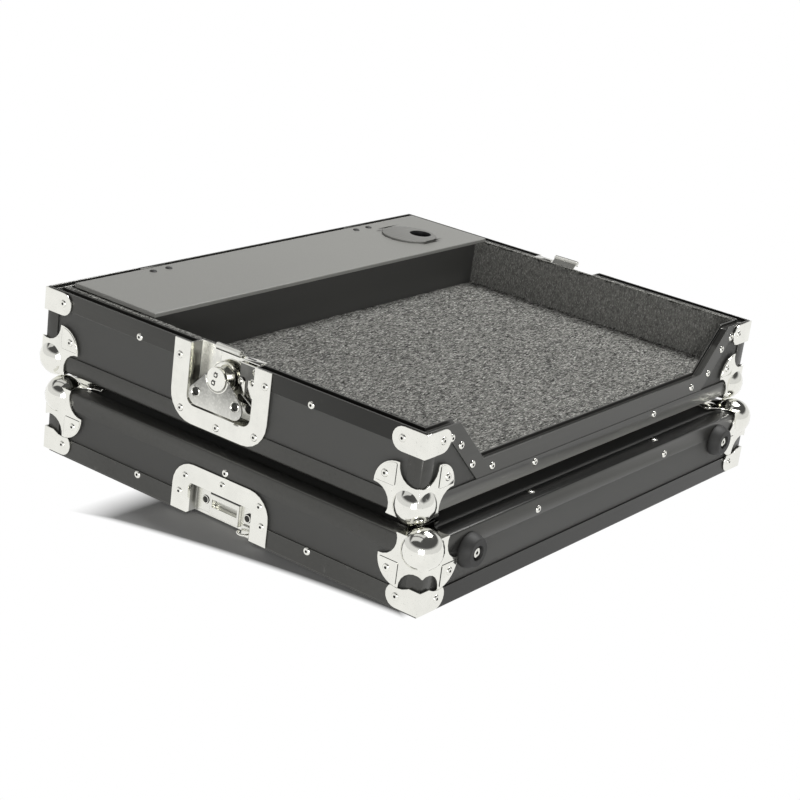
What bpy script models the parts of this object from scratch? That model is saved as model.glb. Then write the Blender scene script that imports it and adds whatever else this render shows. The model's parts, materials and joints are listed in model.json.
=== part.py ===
"""Flight case for a table-top controller: a shallow base tray with a cut-away front, stacked on its own lid.

Units are metres, +Z up, +X right along the front, +Y to the back. The origin is on the table, under the
middle of the footprint. Each half is built as a tray: closed face at z = 0, open rim at z = height, front
at -Y. The lid is the same tray turned over, so its meshes are mirrored in Z and it stands on its rim with
the base on top of it.
"""

import math
from dataclasses import dataclass

import bmesh
import bpy
from mathutils import Matrix, Vector

# Overall sizes
CASE_WIDTH = 0.5435
CASE_DEPTH = 0.437
BASE_HEIGHT = 0.0763
LID_HEIGHT = 0.0637
GAP = 0.0003

# How the base sits on the lid
SHIFT_X = 0.0094
SHIFT_Y = 0.0200
LIFT_CLEARANCE = 0.0003

# Panels and aluminium sections
SKIN = 0.0015
PLY = 0.0068
BAND = 0.0170
INNER_FLANGE = 0.0130
GROOVE_DEPTH = 0.0035
TONGUE = 0.0025
TONGUE_CLEARANCE = 0.0006
ANGLE_FLANGE = 0.0170
POST_LEG = 0.0150
ANGLE_RADIUS = 0.0025
PROFILE_DEPTH = 2 * SKIN + PLY + 2 * GAP

# Front cut-away of the base
CUT_TOP_HALF = 0.2270
CUT_RUN = 0.0425

# Ball corners
BALL_RADIUS = 0.0182
BALL_INSET = 0.0097
CORNER_PLATE = 0.0015
LOBE_CENTRE = 0.0225
LOBE_RADIUS = 0.0225
SCALLOP_FAR = 0.0440
SCALLOP_NEAR = 0.0050
SCALLOP_RADIUS = 0.0163

# Bent corner clips at the rims
CLIP_REACH = 0.0218
CLIP_HALF_HEIGHT = 0.0107
CLIP_SETBACK = 0.0007

# Rubber feet on the front of the lid
FOOT_FROM_SIDE = 0.0607
FOOT_BELOW_FACE = 0.0200
FOOT_LENGTH = 0.0110
FOOT_ROOT_RADIUS = 0.0155
FOOT_TIP_RADIUS = 0.0130
FOOT_BORE_RADIUS = 0.0068
FOOT_BORE_DEPTH = 0.0045
FOOT_EDGE = 0.0010

# Recessed latch and keeper dishes
DISH_SHEET = 0.0012
DISH_WIDTH = 0.1120
DISH_CORNER = 0.0260
LATCH_DISH_LOW = 0.0030
RECESS_WIDTH = 0.0740
RECESS_LOW = 0.0200
RECESS_DEPTH = 0.0130
RECESS_CORNER = 0.0090
KEEPER_DISH_HEIGHT = 0.0465
KEEPER_DISH_CORNER = 0.0230
KEEPER_RECESS_HEIGHT = 0.0290
KEEPER_RECESS_DEPTH = 0.0100

# Latch mechanism, on the left side; the right side is the same turned half round
LATCH_Y = 0.0024
HUB_BELOW_RIM = 0.0227
HUB_RADIUS = 0.0105
BARREL_RADIUS = 0.0090
CAM_RADIUS = 0.0120
CAM_SHEET = 0.0014
ECCENTRIC_RADIUS = 0.0050
ECCENTRICITY = 0.0040
STUB_RADIUS = 0.0020
YOKE_SLACK = 0.0013
HUB_PROUD = 0.0030
WING_SHEET = 0.0015
WING_LOBE_Y = 0.0215
WING_LOBE_DROP = 0.0213
WING_LOBE_RADIUS = 0.0095
WING_HOLE_Y = 0.0229
WING_HOLE_DROP = 0.0183
WING_HOLE_RADIUS = 0.0038
WING_EAR = 0.0030
WING_KNUCKLE_RADIUS = 0.0012
HOOK_Y = -0.0012
HOOK_WIDTH = 0.0275
HOOK_SHEET = 0.0016
HOOK_TRAVEL = 0.0080
HOOK_ABOVE_RIM = 0.0065
HOOK_BEAD_RADIUS = 0.0022
HOOK_LEAN = 0.0068
HOOK_TAIL = 0.0215
SOCKET_Y = -0.0262
SOCKET_WIDTH = 0.0205
SOCKET_DEPTH = 0.0085
SOCKET_LOW = 0.0380
SLOT_WIDTH = 0.0110
SLOT_DEPTH = 0.0045
SLOT_LENGTH = 0.0120
SLOT_FRONT_WALL = 0.0015

# Keeper plate
KEEPER_Y = -0.0015
WINDOW_WIDTH = 0.0290
WINDOW_HEIGHT = 0.0067
WINDOW_BELOW_RIM = 0.0125
FRAME_BORDER = 0.0025
KEEPER_PLATE_WIDTH = 0.0690
KEEPER_PLATE_HEIGHT = 0.0230
KEEPER_SHEET = 0.0016
KEEPER_FRAME_RISE = 0.0035
KEEPER_BELOW_RIM = 0.0036
FRAME_INSIDE_PLATE = 0.0004
TAB_WIDTH = 0.0090
TAB_SHEET = 0.0027
TAB_OVERLAP = 0.0040

# Tray fittings
FLOOR_LEVEL = 0.0285
LINING = 0.0065
LINING_ABOVE_RIM = 0.0002
LID_FOAM = 0.0100
BAY_DEPTH = 0.1065
BAY_WALL = 0.0050
BAY_WALL_SINK = 0.0010
COVER_FROM_SIDE = 0.0170
COVER_LIP = 0.0125
COVER_SHEET = 0.0040
COVER_EDGE = 0.0006
HINGE_FROM_SIDE = 0.1190
HINGE_LENGTH = 0.0340
HINGE_LEAF = 0.0180
HINGE_SHEET = 0.0012
BARREL_HINGE_RADIUS = 0.0025
GROMMET_FROM_SIDE = 0.0913
GROMMET_FROM_BACK = 0.0697
GROMMET_RADIUS = 0.0297
GROMMET_EDGE = 0.0011
GROMMET_NECK_INSET = 0.0035
GROMMET_NECK_BELOW = 0.0020
GROMMET_FLANGE = 0.0020
GROMMET_HOLE_RADIUS = 0.0114
GROMMET_HOLE_X = 0.0117
GROMMET_HOLE_Y = -0.0059

# Carrying handle on the back of the base
HANDLE_BELOW_RIM = 0.0326
HANDLE_PLATE_LENGTH = 0.1560
HANDLE_PLATE_HEIGHT = 0.0240
HANDLE_PLATE = 0.0020
HANDLE_PLATE_CORNER = 0.0060
EAR_HALF_SPACING = 0.0640
EAR_WIDTH = 0.0050
EAR_REACH = 0.0088
EAR_BORDER = 0.0030
BAIL_RADIUS = 0.0030
BAIL_BEND = 0.0090
BAIL_DROP = 0.0300
GRIP_RADIUS = 0.0062
GRIP_HALF_LENGTH = 0.0440

BALL_PROUD = BALL_RADIUS - BALL_INSET
PLATE_OUT = GAP + CORNER_PLATE
BALL_REACH = 2 * BALL_RADIUS + LIFT_CLEARANCE
BALLS_APART = math.sqrt(BALL_REACH**2 - SHIFT_X**2 - SHIFT_Y**2) - 2 * BALL_INSET
STACK_GAP = max(BALLS_APART, BALL_PROUD + PLATE_OUT + LIFT_CLEARANCE)
LID_TOP = TONGUE + LID_HEIGHT
BASE_BOTTOM = LID_TOP + STACK_GAP
PANEL_FACE = SKIN + GAP
HANDLE_SEAT = GAP - PANEL_FACE
HANDLE_AXIS_OUT = HANDLE_SEAT + HANDLE_PLATE + EAR_REACH
HANDLE_OUT = HANDLE_AXIS_OUT + GRIP_RADIUS
LID_X = -SHIFT_X / 2
LID_Y = (FOOT_LENGTH + GAP - HANDLE_OUT - SHIFT_Y) / 2

CUT_RIM = ANGLE_FLANGE + GAP + BAND
HALF_W = CASE_WIDTH / 2
HALF_D = CASE_DEPTH / 2
WALL_INSIDE = PANEL_FACE + PLY
LINING_FACE = PROFILE_DEPTH + GAP
LINING_INSIDE = LINING_FACE + LINING
DISH_BACK = RECESS_DEPTH + DISH_SHEET
NOTCH_HALF = RECESS_WIDTH / 2 + DISH_SHEET + GAP
FOOT_X = HALF_W - FOOT_FROM_SIDE
HUB_Z = BASE_HEIGHT - HUB_BELOW_RIM
HANDLE_Z = BASE_HEIGHT - HANDLE_BELOW_RIM
BAY_WALL_Y = HALF_D - BAY_DEPTH
LINING_TOP = BASE_HEIGHT + LINING_ABOVE_RIM
COVER_LOW = LINING_TOP + GAP
COVER_HALF_WIDTH = HALF_W - COVER_FROM_SIDE
COVER_FRONT_Y = BAY_WALL_Y - COVER_LIP
GROMMET_X = HALF_W - GROMMET_FROM_SIDE
GROMMET_Y = HALF_D - GROMMET_FROM_BACK
HINGE_X = HALF_W - HINGE_FROM_SIDE
HINGE_AXIS_Z = COVER_LOW + COVER_SHEET / 2
HINGE_AXIS_Y = HALF_D - LINING_FACE - BARREL_HINGE_RADIUS

PIECES = None
HELPERS = None


def clear_scene():
    """Empties the scene and makes the two collections."""
    global PIECES, HELPERS
    for item in list(bpy.data.objects):
        bpy.data.objects.remove(item, do_unlink=True)
    PIECES = bpy.data.collections.new("controller_flight_case")
    HELPERS = bpy.data.collections.new("cutters")
    for group in (PIECES, HELPERS):
        bpy.context.scene.collection.children.link(group)


def finish(name, colour, roughness, metallic):
    """A plain Principled material."""
    material = bpy.data.materials.new(name)
    material.use_nodes = True
    shader = material.node_tree.nodes["Principled BSDF"]
    shader.inputs["Base Color"].default_value = (*colour, 1.0)
    shader.inputs["Roughness"].default_value = roughness
    shader.inputs["Metallic"].default_value = metallic
    material.diffuse_color = (*colour, 1.0)
    return material


# Outlines, as lists of 2D points


def arc(cx, cy, radius, start, end, steps):
    """Points on an arc, both ends included, angles in degrees."""
    turns = [math.radians(start + (end - start) * i / steps) for i in range(steps + 1)]
    return [(cx + radius * math.cos(t), cy + radius * math.sin(t)) for t in turns]


def circle(cx, cy, radius, steps):
    """Points round a circle, the closing one left out."""
    return arc(cx, cy, radius, 0, 360, steps)[:-1]


def dish_outline(half_width, low, high, corner, steps=6):
    """A flat-topped shape with two round lower corners."""
    left = arc(-half_width + corner, low + corner, corner, 180, 270, steps)
    right = arc(half_width - corner, low + corner, corner, 270, 360, steps)
    return [*left, *right, (half_width, high), (-half_width, high)]


def circle_meet(near, near_radius, far, far_radius, side):
    """One of the two points where two circles cross; side is +1 or -1."""
    span = math.dist(near, far)
    along = (near_radius**2 - far_radius**2 + span**2) / (2 * span)
    out = side * math.sqrt(near_radius**2 - along**2)
    ux, uy = (far[0] - near[0]) / span, (far[1] - near[1]) / span
    return (near[0] + along * ux - out * uy, near[1] + along * uy + out * ux)


def angle_of(centre, point):
    """Direction from a centre to a point, in degrees."""
    return math.degrees(math.atan2(point[1] - centre[1], point[0] - centre[0]))


# Meshes, each a bmesh that closes on itself


def box(low, high):
    """A box between two corners."""
    mesh = bmesh.new()
    low, high = Vector(low), Vector(high)
    place = Matrix.Translation((low + high) / 2) @ Matrix.Diagonal((*(high - low), 1.0))
    bmesh.ops.create_cube(mesh, size=1.0, matrix=place)
    return mesh


def from_curve(curve):
    """The mesh of a filled curve, with its loose caps welded on."""
    guide = bpy.data.objects.new("guide", curve)
    stored = bpy.data.meshes.new_from_object(guide)
    mesh = bmesh.new()
    mesh.from_mesh(stored)
    bmesh.ops.remove_doubles(mesh, verts=mesh.verts, dist=0.00001)
    bpy.data.objects.remove(guide)
    bpy.data.curves.remove(curve)
    bpy.data.meshes.remove(stored)
    return mesh


def prism(outline, start, end, axis):
    """A flat outline with thickness along an axis: on x it is drawn as (y, z), on y as (x, z), on z
    as (x, y).
    """
    curve = bpy.data.curves.new("outline", "CURVE")
    curve.dimensions = "2D"
    curve.fill_mode = "BOTH"
    curve.extrude = (end - start) / 2
    spline = curve.splines.new("POLY")
    spline.points.add(len(outline) - 1)
    spline.use_cyclic_u = True
    for point, (a, b) in zip(spline.points, outline):
        point.co = (a, b, 0, 1)
    mesh = from_curve(curve)
    middle = (start + end) / 2
    put = {
        "x": Matrix(((0, 0, 1, middle), (1, 0, 0, 0), (0, 1, 0, 0), (0, 0, 0, 1))),
        "y": Matrix(((1, 0, 0, 0), (0, 0, 1, middle), (0, 1, 0, 0), (0, 0, 0, 1))),
        "z": Matrix.Translation((0, 0, middle)),
    }[axis]
    bmesh.ops.transform(mesh, matrix=put, verts=mesh.verts)
    bmesh.ops.recalc_face_normals(mesh, faces=mesh.faces)
    return mesh


def cylinder(centre, radius, start, end, axis, steps=24):
    """A round bar along an axis through a 2D centre, drawn as in prism."""
    a, b = centre
    middle = (start + end) / 2
    put = {
        "x": Matrix.Translation((middle, a, b)) @ Matrix.Rotation(math.pi / 2, 4, "Y"),
        "y": Matrix.Translation((a, middle, b)) @ Matrix.Rotation(math.pi / 2, 4, "X"),
        "z": Matrix.Translation((a, b, middle)),
    }[axis]
    mesh = bmesh.new()
    bmesh.ops.create_cone(
        mesh, cap_ends=True, segments=steps, radius1=radius, radius2=radius, depth=end - start, matrix=put
    )
    return mesh


def run(outline, stations):
    """A section extruded through stations of (corner, inward, up), which makes its mitres."""

    def spot(station, u, h):
        corner, inward, up = (Vector(part) for part in station)
        return corner + inward * u + up * h

    mesh = bmesh.new()
    ring = [mesh.verts.new(spot(stations[0], u, h)) for u, h in outline]
    face = mesh.faces.new(ring)
    for number, station in enumerate(stations[1:]):
        grown = bmesh.ops.extrude_face_region(mesh, geom=[face])["geom"]
        moved = next(item for item in grown if isinstance(item, bmesh.types.BMFace))
        before = {tuple(vert.co): (u, h) for vert, (u, h) in zip(ring, outline)}
        places = {vert: before[tuple(vert.co)] for vert in moved.verts}
        for vert, (u, h) in places.items():
            vert.co = spot(station, u, h)
        ring = [next(vert for vert, place in places.items() if place == point) for point in outline]
        if number:
            bmesh.ops.delete(mesh, geom=[face], context="FACES_ONLY")
        face = moved
    bmesh.ops.recalc_face_normals(mesh, faces=mesh.faces)
    return mesh


def rod(path, radius, across):
    """A round bar along a line of (x, z) points, at one y."""
    curve = bpy.data.curves.new("rod", "CURVE")
    curve.dimensions = "3D"
    curve.bevel_depth = radius
    curve.bevel_resolution = 3
    curve.use_fill_caps = True
    spline = curve.splines.new("POLY")
    spline.points.add(len(path) - 1)
    for point, (x, z) in zip(spline.points, path):
        point.co = (x, across, z, 1)
    mesh = from_curve(curve)
    bmesh.ops.recalc_face_normals(mesh, faces=mesh.faces)
    return mesh


def ball(centre, radius, around, rings):
    """A sphere."""
    mesh = bmesh.new()
    bmesh.ops.create_uvsphere(
        mesh, u_segments=around, v_segments=rings, radius=radius, matrix=Matrix.Translation(centre)
    )
    return mesh


def round_edges(mesh, chosen, radius, steps):
    """Rounds the edges whose middle passes a test."""
    edges = [edge for edge in mesh.edges if chosen((edge.verts[0].co + edge.verts[1].co) / 2)]
    bmesh.ops.bevel(
        mesh, geom=edges, offset=radius, segments=steps, profile=0.5, affect="EDGES", material=-1
    )
    return mesh


def turned(mesh, angle):
    """Turns a mesh about the vertical axis."""
    bmesh.ops.rotate(mesh, cent=(0, 0, 0), matrix=Matrix.Rotation(angle, 3, "Z"), verts=mesh.verts)
    return mesh


@dataclass(frozen=True)
class Half:
    """One half of the case: where its closed face is, and which way its rim points."""

    name: str
    height: float
    x: float
    y: float
    z: float
    side: int  # +1 with the rim up, -1 turned over

    def frame(self):
        """The empty that carries the half."""
        empty = bpy.data.objects.get(self.name + "_half")
        if empty is None:
            empty = bpy.data.objects.new(self.name + "_half", None)
            empty.location = (self.x, self.y, self.z)
            PIECES.objects.link(empty)
        return empty

    def data(self, name, mesh, material=None):
        """Stores a bmesh, mirrored for the half that is turned over."""
        if self.side < 0:
            bmesh.ops.scale(mesh, vec=(1, 1, -1), verts=mesh.verts)
            bmesh.ops.reverse_faces(mesh, faces=mesh.faces)
        stored = bpy.data.meshes.new(name)
        mesh.to_mesh(stored)
        mesh.free()
        if material:
            stored.materials.append(material)
        return stored

    def place(self, name, stored, at=(0, 0, 0), turn=0.0, group=None):
        """Puts stored data into the scene at a point of the half's own tray."""
        item = bpy.data.objects.new(name, stored)
        item.parent = self.frame()
        item.location = (at[0], at[1], at[2] * self.side)
        item.rotation_euler = (0, 0, turn)
        (group or PIECES).objects.link(item)
        return item

    def piece(
        self, name, mesh, material, cuts=(), joins=(), at=(0, 0, 0), turn=0.0, pivot=(0, 0, 0), crease=35
    ):
        """A named piece with its Boolean joins and cuts. Its origin goes to the pivot."""
        home = (at[0] + pivot[0], at[1] + pivot[1], at[2] + pivot[2])
        shift = Vector(pivot) * -1.0
        bmesh.ops.translate(mesh, vec=shift, verts=mesh.verts)
        item = self.place(name, self.data(name, mesh, material), home, turn)
        for kind, shapes in (("UNION", joins), ("DIFFERENCE", cuts)):
            for number, shape in enumerate(shapes):
                bmesh.ops.translate(shape, vec=shift, verts=shape.verts)
                label = f"{name}_{kind.lower()}_{number}"
                helper = self.place(label, self.data(label, shape), home, turn, HELPERS)
                helper.hide_render = True
                helper.display_type = "WIRE"
                step = item.modifiers.new(label, "BOOLEAN")
                step.operation = kind
                step.solver = "EXACT"
                step.object = helper
        item.data.shade_smooth()
        item.data.set_sharp_from_angle(angle=math.radians(crease))
        return item


BASE = Half("base", BASE_HEIGHT, LID_X + SHIFT_X, LID_Y + SHIFT_Y, BASE_BOTTOM, 1)
LID = Half("lid", LID_HEIGHT, LID_X, LID_Y, LID_TOP, -1)

CORNERS = {
    "front_left": (-HALF_W, -HALF_D, 0.0),
    "front_right": (HALF_W, -HALF_D, math.pi / 2),
    "back_right": (HALF_W, HALF_D, math.pi),
    "back_left": (-HALF_W, HALF_D, -math.pi / 2),
}


# Aluminium sections


def female_section():
    """Groove section of the base rim, as (depth inwards, height over the rim)."""
    floor = -GROOVE_DEPTH
    web = floor - SKIN
    inner = PROFILE_DEPTH - SKIN
    return [
        (0, 0), (0, -BAND), (SKIN, -BAND), (SKIN, web), (inner, web), (inner, -INNER_FLANGE),
        (PROFILE_DEPTH, -INNER_FLANGE), (PROFILE_DEPTH, 0), (inner, 0), (inner, floor), (SKIN, floor),
        (SKIN, 0),
    ]


def male_section():
    """Tongue section of the lid rim, as (depth inwards, height over the outer lip)."""
    inner = PROFILE_DEPTH - SKIN
    near, far = SKIN + TONGUE_CLEARANCE, inner - TONGUE_CLEARANCE
    return [
        (0, 0), (0, -BAND), (SKIN, -BAND), (SKIN, -SKIN), (inner, -SKIN), (inner, -INNER_FLANGE),
        (PROFILE_DEPTH, -INNER_FLANGE), (PROFILE_DEPTH, 0), (far, 0), (far, TONGUE), (near, TONGUE),
        (near, 0),
    ]


def front_path():
    """The base's front rim line, from corner to corner, as (x, z)."""
    low_half = CUT_TOP_HALF - CUT_RUN
    return [
        (-HALF_W, BASE_HEIGHT), (-CUT_TOP_HALF, BASE_HEIGHT), (-low_half, CUT_RIM),
        (low_half, CUT_RIM), (CUT_TOP_HALF, BASE_HEIGHT), (HALF_W, BASE_HEIGHT),
    ]


def mitre_ups(path):
    """For each point of a line, the vector that is 1 thick square to both of its neighbours."""
    ups = []
    for i, (x, z) in enumerate(path):
        normals = []
        for (ax, az), (bx, bz) in zip(path[max(i - 1, 0):i + 1], path[max(i - 1, 0) + 1:i + 2]):
            span = math.hypot(bx - ax, bz - az)
            normals.append((-(bz - az) / span, (bx - ax) / span))
        nx = sum(n[0] for n in normals) / len(normals)
        nz = sum(n[1] for n in normals) / len(normals)
        length = nx * nx + nz * nz
        ups.append((nx / length, 0, nz / length))
    return ups


def front_line(drop):
    """The front rim line moved square to itself into the wall."""
    path = front_path()
    return [(x - up[0] * drop, z - up[2] * drop) for (x, z), up in zip(path, mitre_ups(path))]


def corner_station(half, sx, sy, along):
    """A mitred corner of a rim; along is the axis that the run starts or ends on, and holds the
    joint's gap.
    """
    gap = GAP * 0.75
    x = sx * (HALF_W - gap * (along == "x"))
    y = sy * (HALF_D - gap * (along == "y"))
    return ((x, y, half.height), (-sx, -sy, 0), (0, 0, 1))


def side_station(half, sx, y):
    """A square end of a side run."""
    return ((sx * HALF_W, y, half.height), (-sx, 0, 0), (0, 0, 1))


def build_closures(aluminium):
    """Rim sections: grooved lengths on the base, tongued ones on the lid. The dishes interrupt the
    side lengths.
    """
    groove, tongue = female_section(), male_section()
    notch = NOTCH_HALF + GAP
    path = front_path()
    middle = [((x, -HALF_D, z), (0, 1, 0), up) for (x, z), up in list(zip(path, mitre_ups(path)))[1:-1]]
    front = [corner_station(BASE, -1, -1, "x"), *middle, corner_station(BASE, 1, -1, "x")]
    BASE.piece("base_closure_front", run(groove, front), aluminium)
    back = [corner_station(BASE, -1, 1, "x"), corner_station(BASE, 1, 1, "x")]
    BASE.piece("base_closure_back", run(groove, back), aluminium)
    for side, sx in (("left", -1), ("right", 1)):
        for end, sy in (("front", -1), ("back", 1)):
            ends = [corner_station(BASE, sx, sy, "y"), side_station(BASE, sx, sy * notch)]
            BASE.piece(f"base_closure_{side}_{end}", run(groove, ends), aluminium)
    for end, sy in (("front", -1), ("back", 1)):
        stations = [
            side_station(LID, -1, sy * notch),
            ((-HALF_W, sy * HALF_D, LID.height), (1, -sy, 0), (0, 0, 1)),
            ((HALF_W, sy * HALF_D, LID.height), (-1, -sy, 0), (0, 0, 1)),
            side_station(LID, 1, sy * notch),
        ]
        LID.piece(f"lid_closure_{end}", run(tongue, stations), aluminium)


def build_edge_angles(half, aluminium):
    """Angle along the closed face and up the four corners, as one riveted frame."""
    top = half.height - BAND - GAP
    shell = box((-HALF_W, -HALF_D, 0), (HALF_W, HALF_D, top))
    round_edges(
        shell,
        lambda m: m.z < top * 0.25
        or (m.z < top * 0.75 and abs(m.x) > HALF_W * 0.9 and abs(m.y) > HALF_D * 0.9),
        ANGLE_RADIUS,
        2,
    )
    far = 0.05
    hollow = box((-HALF_W + SKIN, -HALF_D + SKIN, SKIN), (HALF_W - SKIN, HALF_D - SKIN, top + far))
    flange = ANGLE_FLANGE
    face = box((-HALF_W + flange, -HALF_D + flange, -far), (HALF_W - flange, HALF_D - flange, far / 2))
    sides = box((-HALF_W - far, -HALF_D + POST_LEG, flange), (HALF_W + far, HALF_D - POST_LEG, top + far))
    ends = box((-HALF_W + POST_LEG, -HALF_D - far, flange), (HALF_W - POST_LEG, HALF_D + far, top + far))
    half.piece(f"{half.name}_edge_angles", shell, aluminium, cuts=(hollow, face, sides, ends))


# Panels


def build_panels(half, laminate, rim_web):
    """The closed face and four walls of laminated ply, the side walls notched for the dishes."""
    x, y = HALF_W - PANEL_FACE, HALF_D - PANEL_FACE
    face_name = "base_floor_panel" if half is BASE else "lid_top_panel"
    half.piece(face_name, box((-x, -y, PANEL_FACE), (x, y, PANEL_FACE + PLY)), laminate)
    low = PANEL_FACE + PLY + GAP
    high = half.height - rim_web - GAP
    half.piece(f"{half.name}_wall_back", box((-x, y - PLY, low), (x, y, high)), laminate)
    if half is BASE:
        line = front_line(rim_web + GAP)
        outline = [(-x, low), (x, low), (x, line[-1][1]), *reversed(line[1:-1]), (-x, line[0][1])]
        front = prism(outline, -y, -y + PLY, "y")
    else:
        front = box((-x, -y, low), (x, -y + PLY, high))
    half.piece(f"{half.name}_wall_front", front, laminate)
    recess = RECESS_LOW if half is BASE else half.height - KEEPER_RECESS_HEIGHT
    notch_low = recess - DISH_SHEET - GAP
    inner_y = y - PLY - GAP
    for side, sx in (("left", -1), ("right", 1)):
        near, far = sorted((sx * x, sx * (x - PLY)))
        wall = box((near, -inner_y, low), (far, inner_y, high))
        notch = box((near - PLY, -NOTCH_HALF, notch_low), (far + PLY, NOTCH_HALF, high + PLY))
        half.piece(f"{half.name}_wall_{side}", wall, laminate, cuts=(notch,))


# Corner hardware


def lobe_outline():
    """One face of a ball corner: a round lobe on the diagonal, with a scallop cut out beside each edge."""
    out = PLATE_OUT
    lobe = (LOBE_CENTRE, LOBE_CENTRE)
    scallop = (SCALLOP_FAR, SCALLOP_NEAR)
    start = (SCALLOP_FAR - math.sqrt(SCALLOP_RADIUS**2 - (SCALLOP_NEAR + out) ** 2), -out)
    tip = circle_meet(scallop, SCALLOP_RADIUS, lobe, LOBE_RADIUS, -1)
    cut = arc(*scallop, SCALLOP_RADIUS, angle_of(scallop, start) + 360, angle_of(scallop, tip), 7)
    first = angle_of(lobe, tip)
    bulge = arc(*lobe, LOBE_RADIUS, first, 90 - first, 9)
    mirrored = [(b, a) for a, b in reversed(cut)]
    return [(BALL_INSET, BALL_INSET), (BALL_INSET, -out), *cut, *bulge[1:-1], *mirrored, (-out, BALL_INSET)]


def build_ball_corners(half, steel):
    """Four stamped corners at the closed face, each three lobed plates running into a hollow ball."""
    outline = lobe_outline()
    middle = (BALL_INSET, BALL_INSET, BALL_INSET)
    reach = 4 * BALL_INSET
    for place, (x, y, turn) in CORNERS.items():
        plates = [prism(outline, -PLATE_OUT, -GAP, axis) for axis in "xyz"]
        inside = box((-GAP, -GAP, -GAP), (reach, reach, reach))
        round_edges(inside, lambda m: sorted(m)[1] < reach / 4, ANGLE_RADIUS + GAP, 2)
        half.piece(
            f"{half.name}_ball_corner_{place}",
            ball(middle, BALL_RADIUS, 24, 12),
            steel,
            joins=plates,
            cuts=(inside, ball(middle, BALL_RADIUS - CORNER_PLATE, 24, 12)),
            at=(x, y, 0),
            turn=turn,
        )


def build_corner_clips(half, steel):
    """Four bent plates at the rim, each with one round-ended leg on either wall, cut back round the
    ball's lobes.
    """
    middle = -CLIP_SETBACK - CLIP_HALF_HEIGHT
    low, high = middle - CLIP_HALF_HEIGHT, middle + CLIP_HALF_HEIGHT
    leg = [(-PLATE_OUT, low), *arc(CLIP_REACH, middle, CLIP_HALF_HEIGHT, -90, 90, 10), (-PLATE_OUT, high)]
    lobe = (LOBE_CENTRE, LOBE_CENTRE - half.height)
    meets = lobe[1] + LOBE_RADIUS + GAP > low
    for place, (x, y, turn) in CORNERS.items():
        half.piece(
            f"{half.name}_corner_clip_{place}",
            prism(leg, -PLATE_OUT, -GAP, "x"),
            steel,
            joins=(prism(leg, -PLATE_OUT, -GAP, "y"),),
            cuts=[cylinder(lobe, LOBE_RADIUS + GAP, -2 * PLATE_OUT, 0, axis) for axis in "xy" if meets],
            at=(x, y, half.height),
            turn=turn,
        )


def build_feet(rubber):
    """Two tapered rubber feet on the lid's front, each a turned profile with a screw recess in its end."""
    profile = [
        (0, 0), (FOOT_ROOT_RADIUS, 0), (FOOT_ROOT_RADIUS, 0.25 * FOOT_LENGTH),
        (FOOT_TIP_RADIUS, FOOT_LENGTH - FOOT_EDGE),
        (FOOT_TIP_RADIUS - FOOT_EDGE, FOOT_LENGTH), (FOOT_BORE_RADIUS, FOOT_LENGTH),
        (FOOT_BORE_RADIUS, FOOT_LENGTH - FOOT_BORE_DEPTH), (0, FOOT_LENGTH - FOOT_BORE_DEPTH),
    ]
    face_y = -HALF_D - GAP
    for side, sx in (("left", -1), ("right", 1)):
        stored = bpy.data.meshes.new(f"lid_foot_{side}")
        lathe = bmesh.new()
        points = [lathe.verts.new((radius, 0, along)) for radius, along in reversed(profile)]
        for first, second in zip(points, points[1:]):
            lathe.edges.new((first, second))
        lathe.to_mesh(stored)
        lathe.free()
        stored.materials.append(rubber)
        foot = LID.place(f"lid_foot_{side}", stored, (sx * FOOT_X, face_y, FOOT_BELOW_FACE))
        foot.rotation_euler = (math.pi / 2, 0, 0)
        screw = foot.modifiers.new("turning", "SCREW")
        screw.axis = "Z"
        screw.steps = screw.render_steps = 24
        screw.use_merge_vertices = True
        screw.merge_threshold = 0.00001
        screw.use_smooth_shade = False


# Latches and keepers


def side_turn(side):
    """The right side is the left one turned half round."""
    return 0.0 if side == "left" else math.pi


def out_of(depth):
    """World x, on the left side, of a depth measured inwards from the outer face."""
    return -HALF_W + depth


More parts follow.
